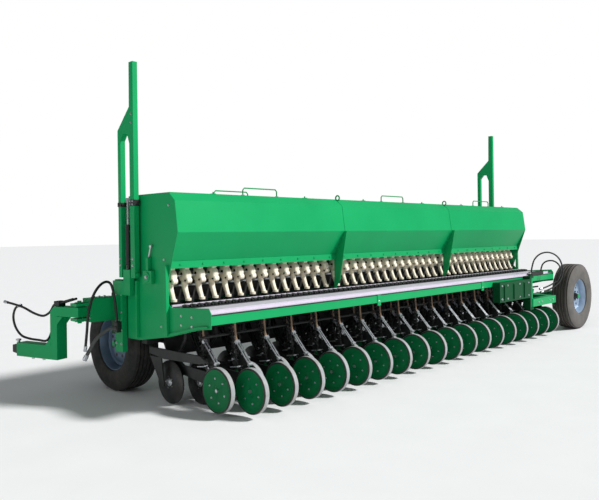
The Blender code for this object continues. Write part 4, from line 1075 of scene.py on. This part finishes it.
def hose(name, route, radius, body, finish=None):
    """A free hydraulic hose as a curve, with its coupler on the far end."""
    smooth = [point + ORIGIN for point in smooth_route(route, 6)]
    curve = bpy.data.curves.new(name, "CURVE")
    curve.dimensions = "3D"
    curve.bevel_depth = radius
    curve.bevel_resolution = 4
    curve.use_fill_caps = True
    spline = curve.splines.new("POLY")
    spline.points.add(len(smooth) - 1)
    for point, place in zip(spline.points, smooth):
        point.co = (*place, 1.0)
    spline.use_smooth = True
    curve.materials.append(finish or HOSE)
    made = bpy.data.objects.new(name, curve)
    link(made)
    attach(made, body)
    end, before = smooth[-1] - ORIGIN, smooth[-4] - ORIGIN
    along = (end - before).normalized()
    coupler = Shape()
    coupler.rod(end - along * 0.050, end - along * 0.015, radius * 1.25, 14)
    coupler.rod(end - along * 0.018, end - along * 0.004, radius * 1.5, 6)
    coupler.rod(end - along * 0.006, end - along * 0.001, radius * 1.05, 14)
    tip = piece(name + "_coupler", coupler, STEEL, body)
    return made


def drawbar_hoses():
    clip_z = 0.9153
    clipped = [(0.06, 0.075), (0.16, 0.05), (0.24, 0.028), (0.31, 0.01)]
    straight = [(0.37, -0.06), (0.46, -0.10), (0.58, -0.08), (0.72, -0.03), (0.86, 0.0),
                (0.99, 0.02)]
    looped = [(0.37, -0.10), (0.40, -0.25), (0.47, -0.345), (0.60, -0.35), (0.74, -0.345),
              (0.86, -0.32), (0.95, -0.24), (0.98, -0.14), (0.94, -0.05), (0.85, -0.02)]
    for number, (across, run) in enumerate(((-0.022, straight), (0.022, looped))):
        route = [SWING @ Vector((across * (1 + 2 * max(0.0, along - 0.4)), along, clip_z + rise))
                 for along, rise in clipped + run]
        hose(f"drawbar_hose_{number + 1}", route, 0.0114, "drawbar")
    clip = Shape()
    clip.block(-0.042, 0.042, 0.225, 0.295, clip_z, clip_z + 0.05)
    clip.moved(SWING)
    piece("drawbar_hose_clip", clip, BLACK, "drawbar", ["drawbar_hoses"], bevel=0.006)


def left_hoses():
    x = -(HALF_LENGTH + 0.0503)
    y = 1.38
    drop = [(x - 0.03, y, 0.74), (x - 0.05, y, 0.95), (x - 0.09, y, 1.12), (x - 0.17, y, 1.14),
            (x - 0.26, y, 1.05), (x - 0.32, y, 0.88), (x - 0.34, y, 0.70), (x - 0.36, y, 0.52)]
    swag = [(x - 0.02, y, 0.70), (x - 0.12, y, 0.70), (x - 0.24, y, 0.63), (x - 0.32, y, 0.52),
            (x - 0.37, y, 0.44)]
    hose("left_hose_1", drop, 0.0125, "frame")
    hose("left_hose_2", swag, 0.017, "frame", GREY_HOSE)
    foot = Shape()
    foot.block(x - 0.05, x - 0.0003, y - 0.03, y + 0.03, 0.66, 0.76)
    piece("left_hose_block", foot, BLACK, "frame", ["left_hoses"], bevel=0.005)


def transport_hoses():
    outer = [(2.65, 0.07, 0.95), (2.66, 0.06, 1.04), (2.70, 0.04, 1.15), (2.77, -0.015, 1.23),
             (2.86, -0.09, 1.255), (2.93, -0.17, 1.22), (2.97, -0.23, 1.14), (2.98, -0.26, 1.03),
             (2.955, -0.27, 0.92), (2.89, -0.25, 0.82), (2.80, -0.20, 0.745), (2.70, -0.14, 0.70),
             (2.60, -0.09, 0.68)]
    inner = [(2.98, 0.07, 0.95), (2.985, 0.062, 1.01), (2.99, 0.04, 1.07), (3.0, -0.005, 1.11),
             (3.01, -0.065, 1.125), (3.015, -0.13, 1.115), (3.015, -0.19, 1.07),
             (3.005, -0.225, 1.0), (2.975, -0.225, 0.91), (2.91, -0.205, 0.835),
             (2.82, -0.16, 0.78), (2.72, -0.105, 0.74), (2.62, -0.065, 0.72)]
    hose("transport_hose_1", outer, 0.0113, "frame")
    hose("transport_hose_2", inner, 0.0113, "frame")
    clamp = Shape()
    clamp.block(2.62, 3.01, 0.041, 0.099, 0.9256, 0.970)
    clamp.block(2.62, 3.01, 0.041, 0.047, 0.9056, 0.930)
    piece("transport_hose_clamp", clamp, BLACK, "frame", ["transport_hoses"], bevel=0.005)


# Transport wheel carrier -------------------------------------------------------------

def transport_fittings():
    bolts = Shape()
    for x in (1.46, 1.62, 1.98, 2.26):
        for z in (0.66, 0.84):
            bolts.bolt((x, -0.0655, z), (0, -1, 0), 0.011, 0.009)
    bolts.rod((2.42, -0.01, 0.955), (2.42, -0.01, 0.972), 0.026, 6)
    piece("transport_bolts", bolts, STEEL)
    ribs = Shape()
    ribs.block(1.41, 2.30, -0.0645, -0.060, 0.735, 0.765)
    for x in (1.52, 1.80, 2.12):
        ribs.plate([(-0.078, 0.64), (-0.0652, 0.64), (-0.0652, 0.86), (-0.078, 0.84)],
                   x - 0.005, x + 0.005)
    # The ribs take the darkened green: painted shade.
    piece("transport_ribs", ribs, SHADED_GREEN, bevel=0.002)
    arm = Shape()
    for x in (2.60, 2.72, 2.98, 3.10):
        arm.bolt((x, -0.0605, 0.532), (0, -1, 0), 0.011, 0.009)
    for x in (3.30, 3.50, 3.70):
        arm.bolt((x, 0.36, 0.5876), (0, 0, 1), 0.010, 0.008)
    piece("transport_arm_bolts", arm, STEEL, "transport_arm")


add_camera()
add_light()
add_floor()
finish_frame()
hopper_fittings()
lid_fittings()
seed_meters()
openers()
road_wheels()
marker_cylinders()
marker_fittings()
end_fittings()
deck_fittings()
drawbar_fittings()
drawbar_hoses()
left_hoses()
transport_hoses()
transport_fittings()
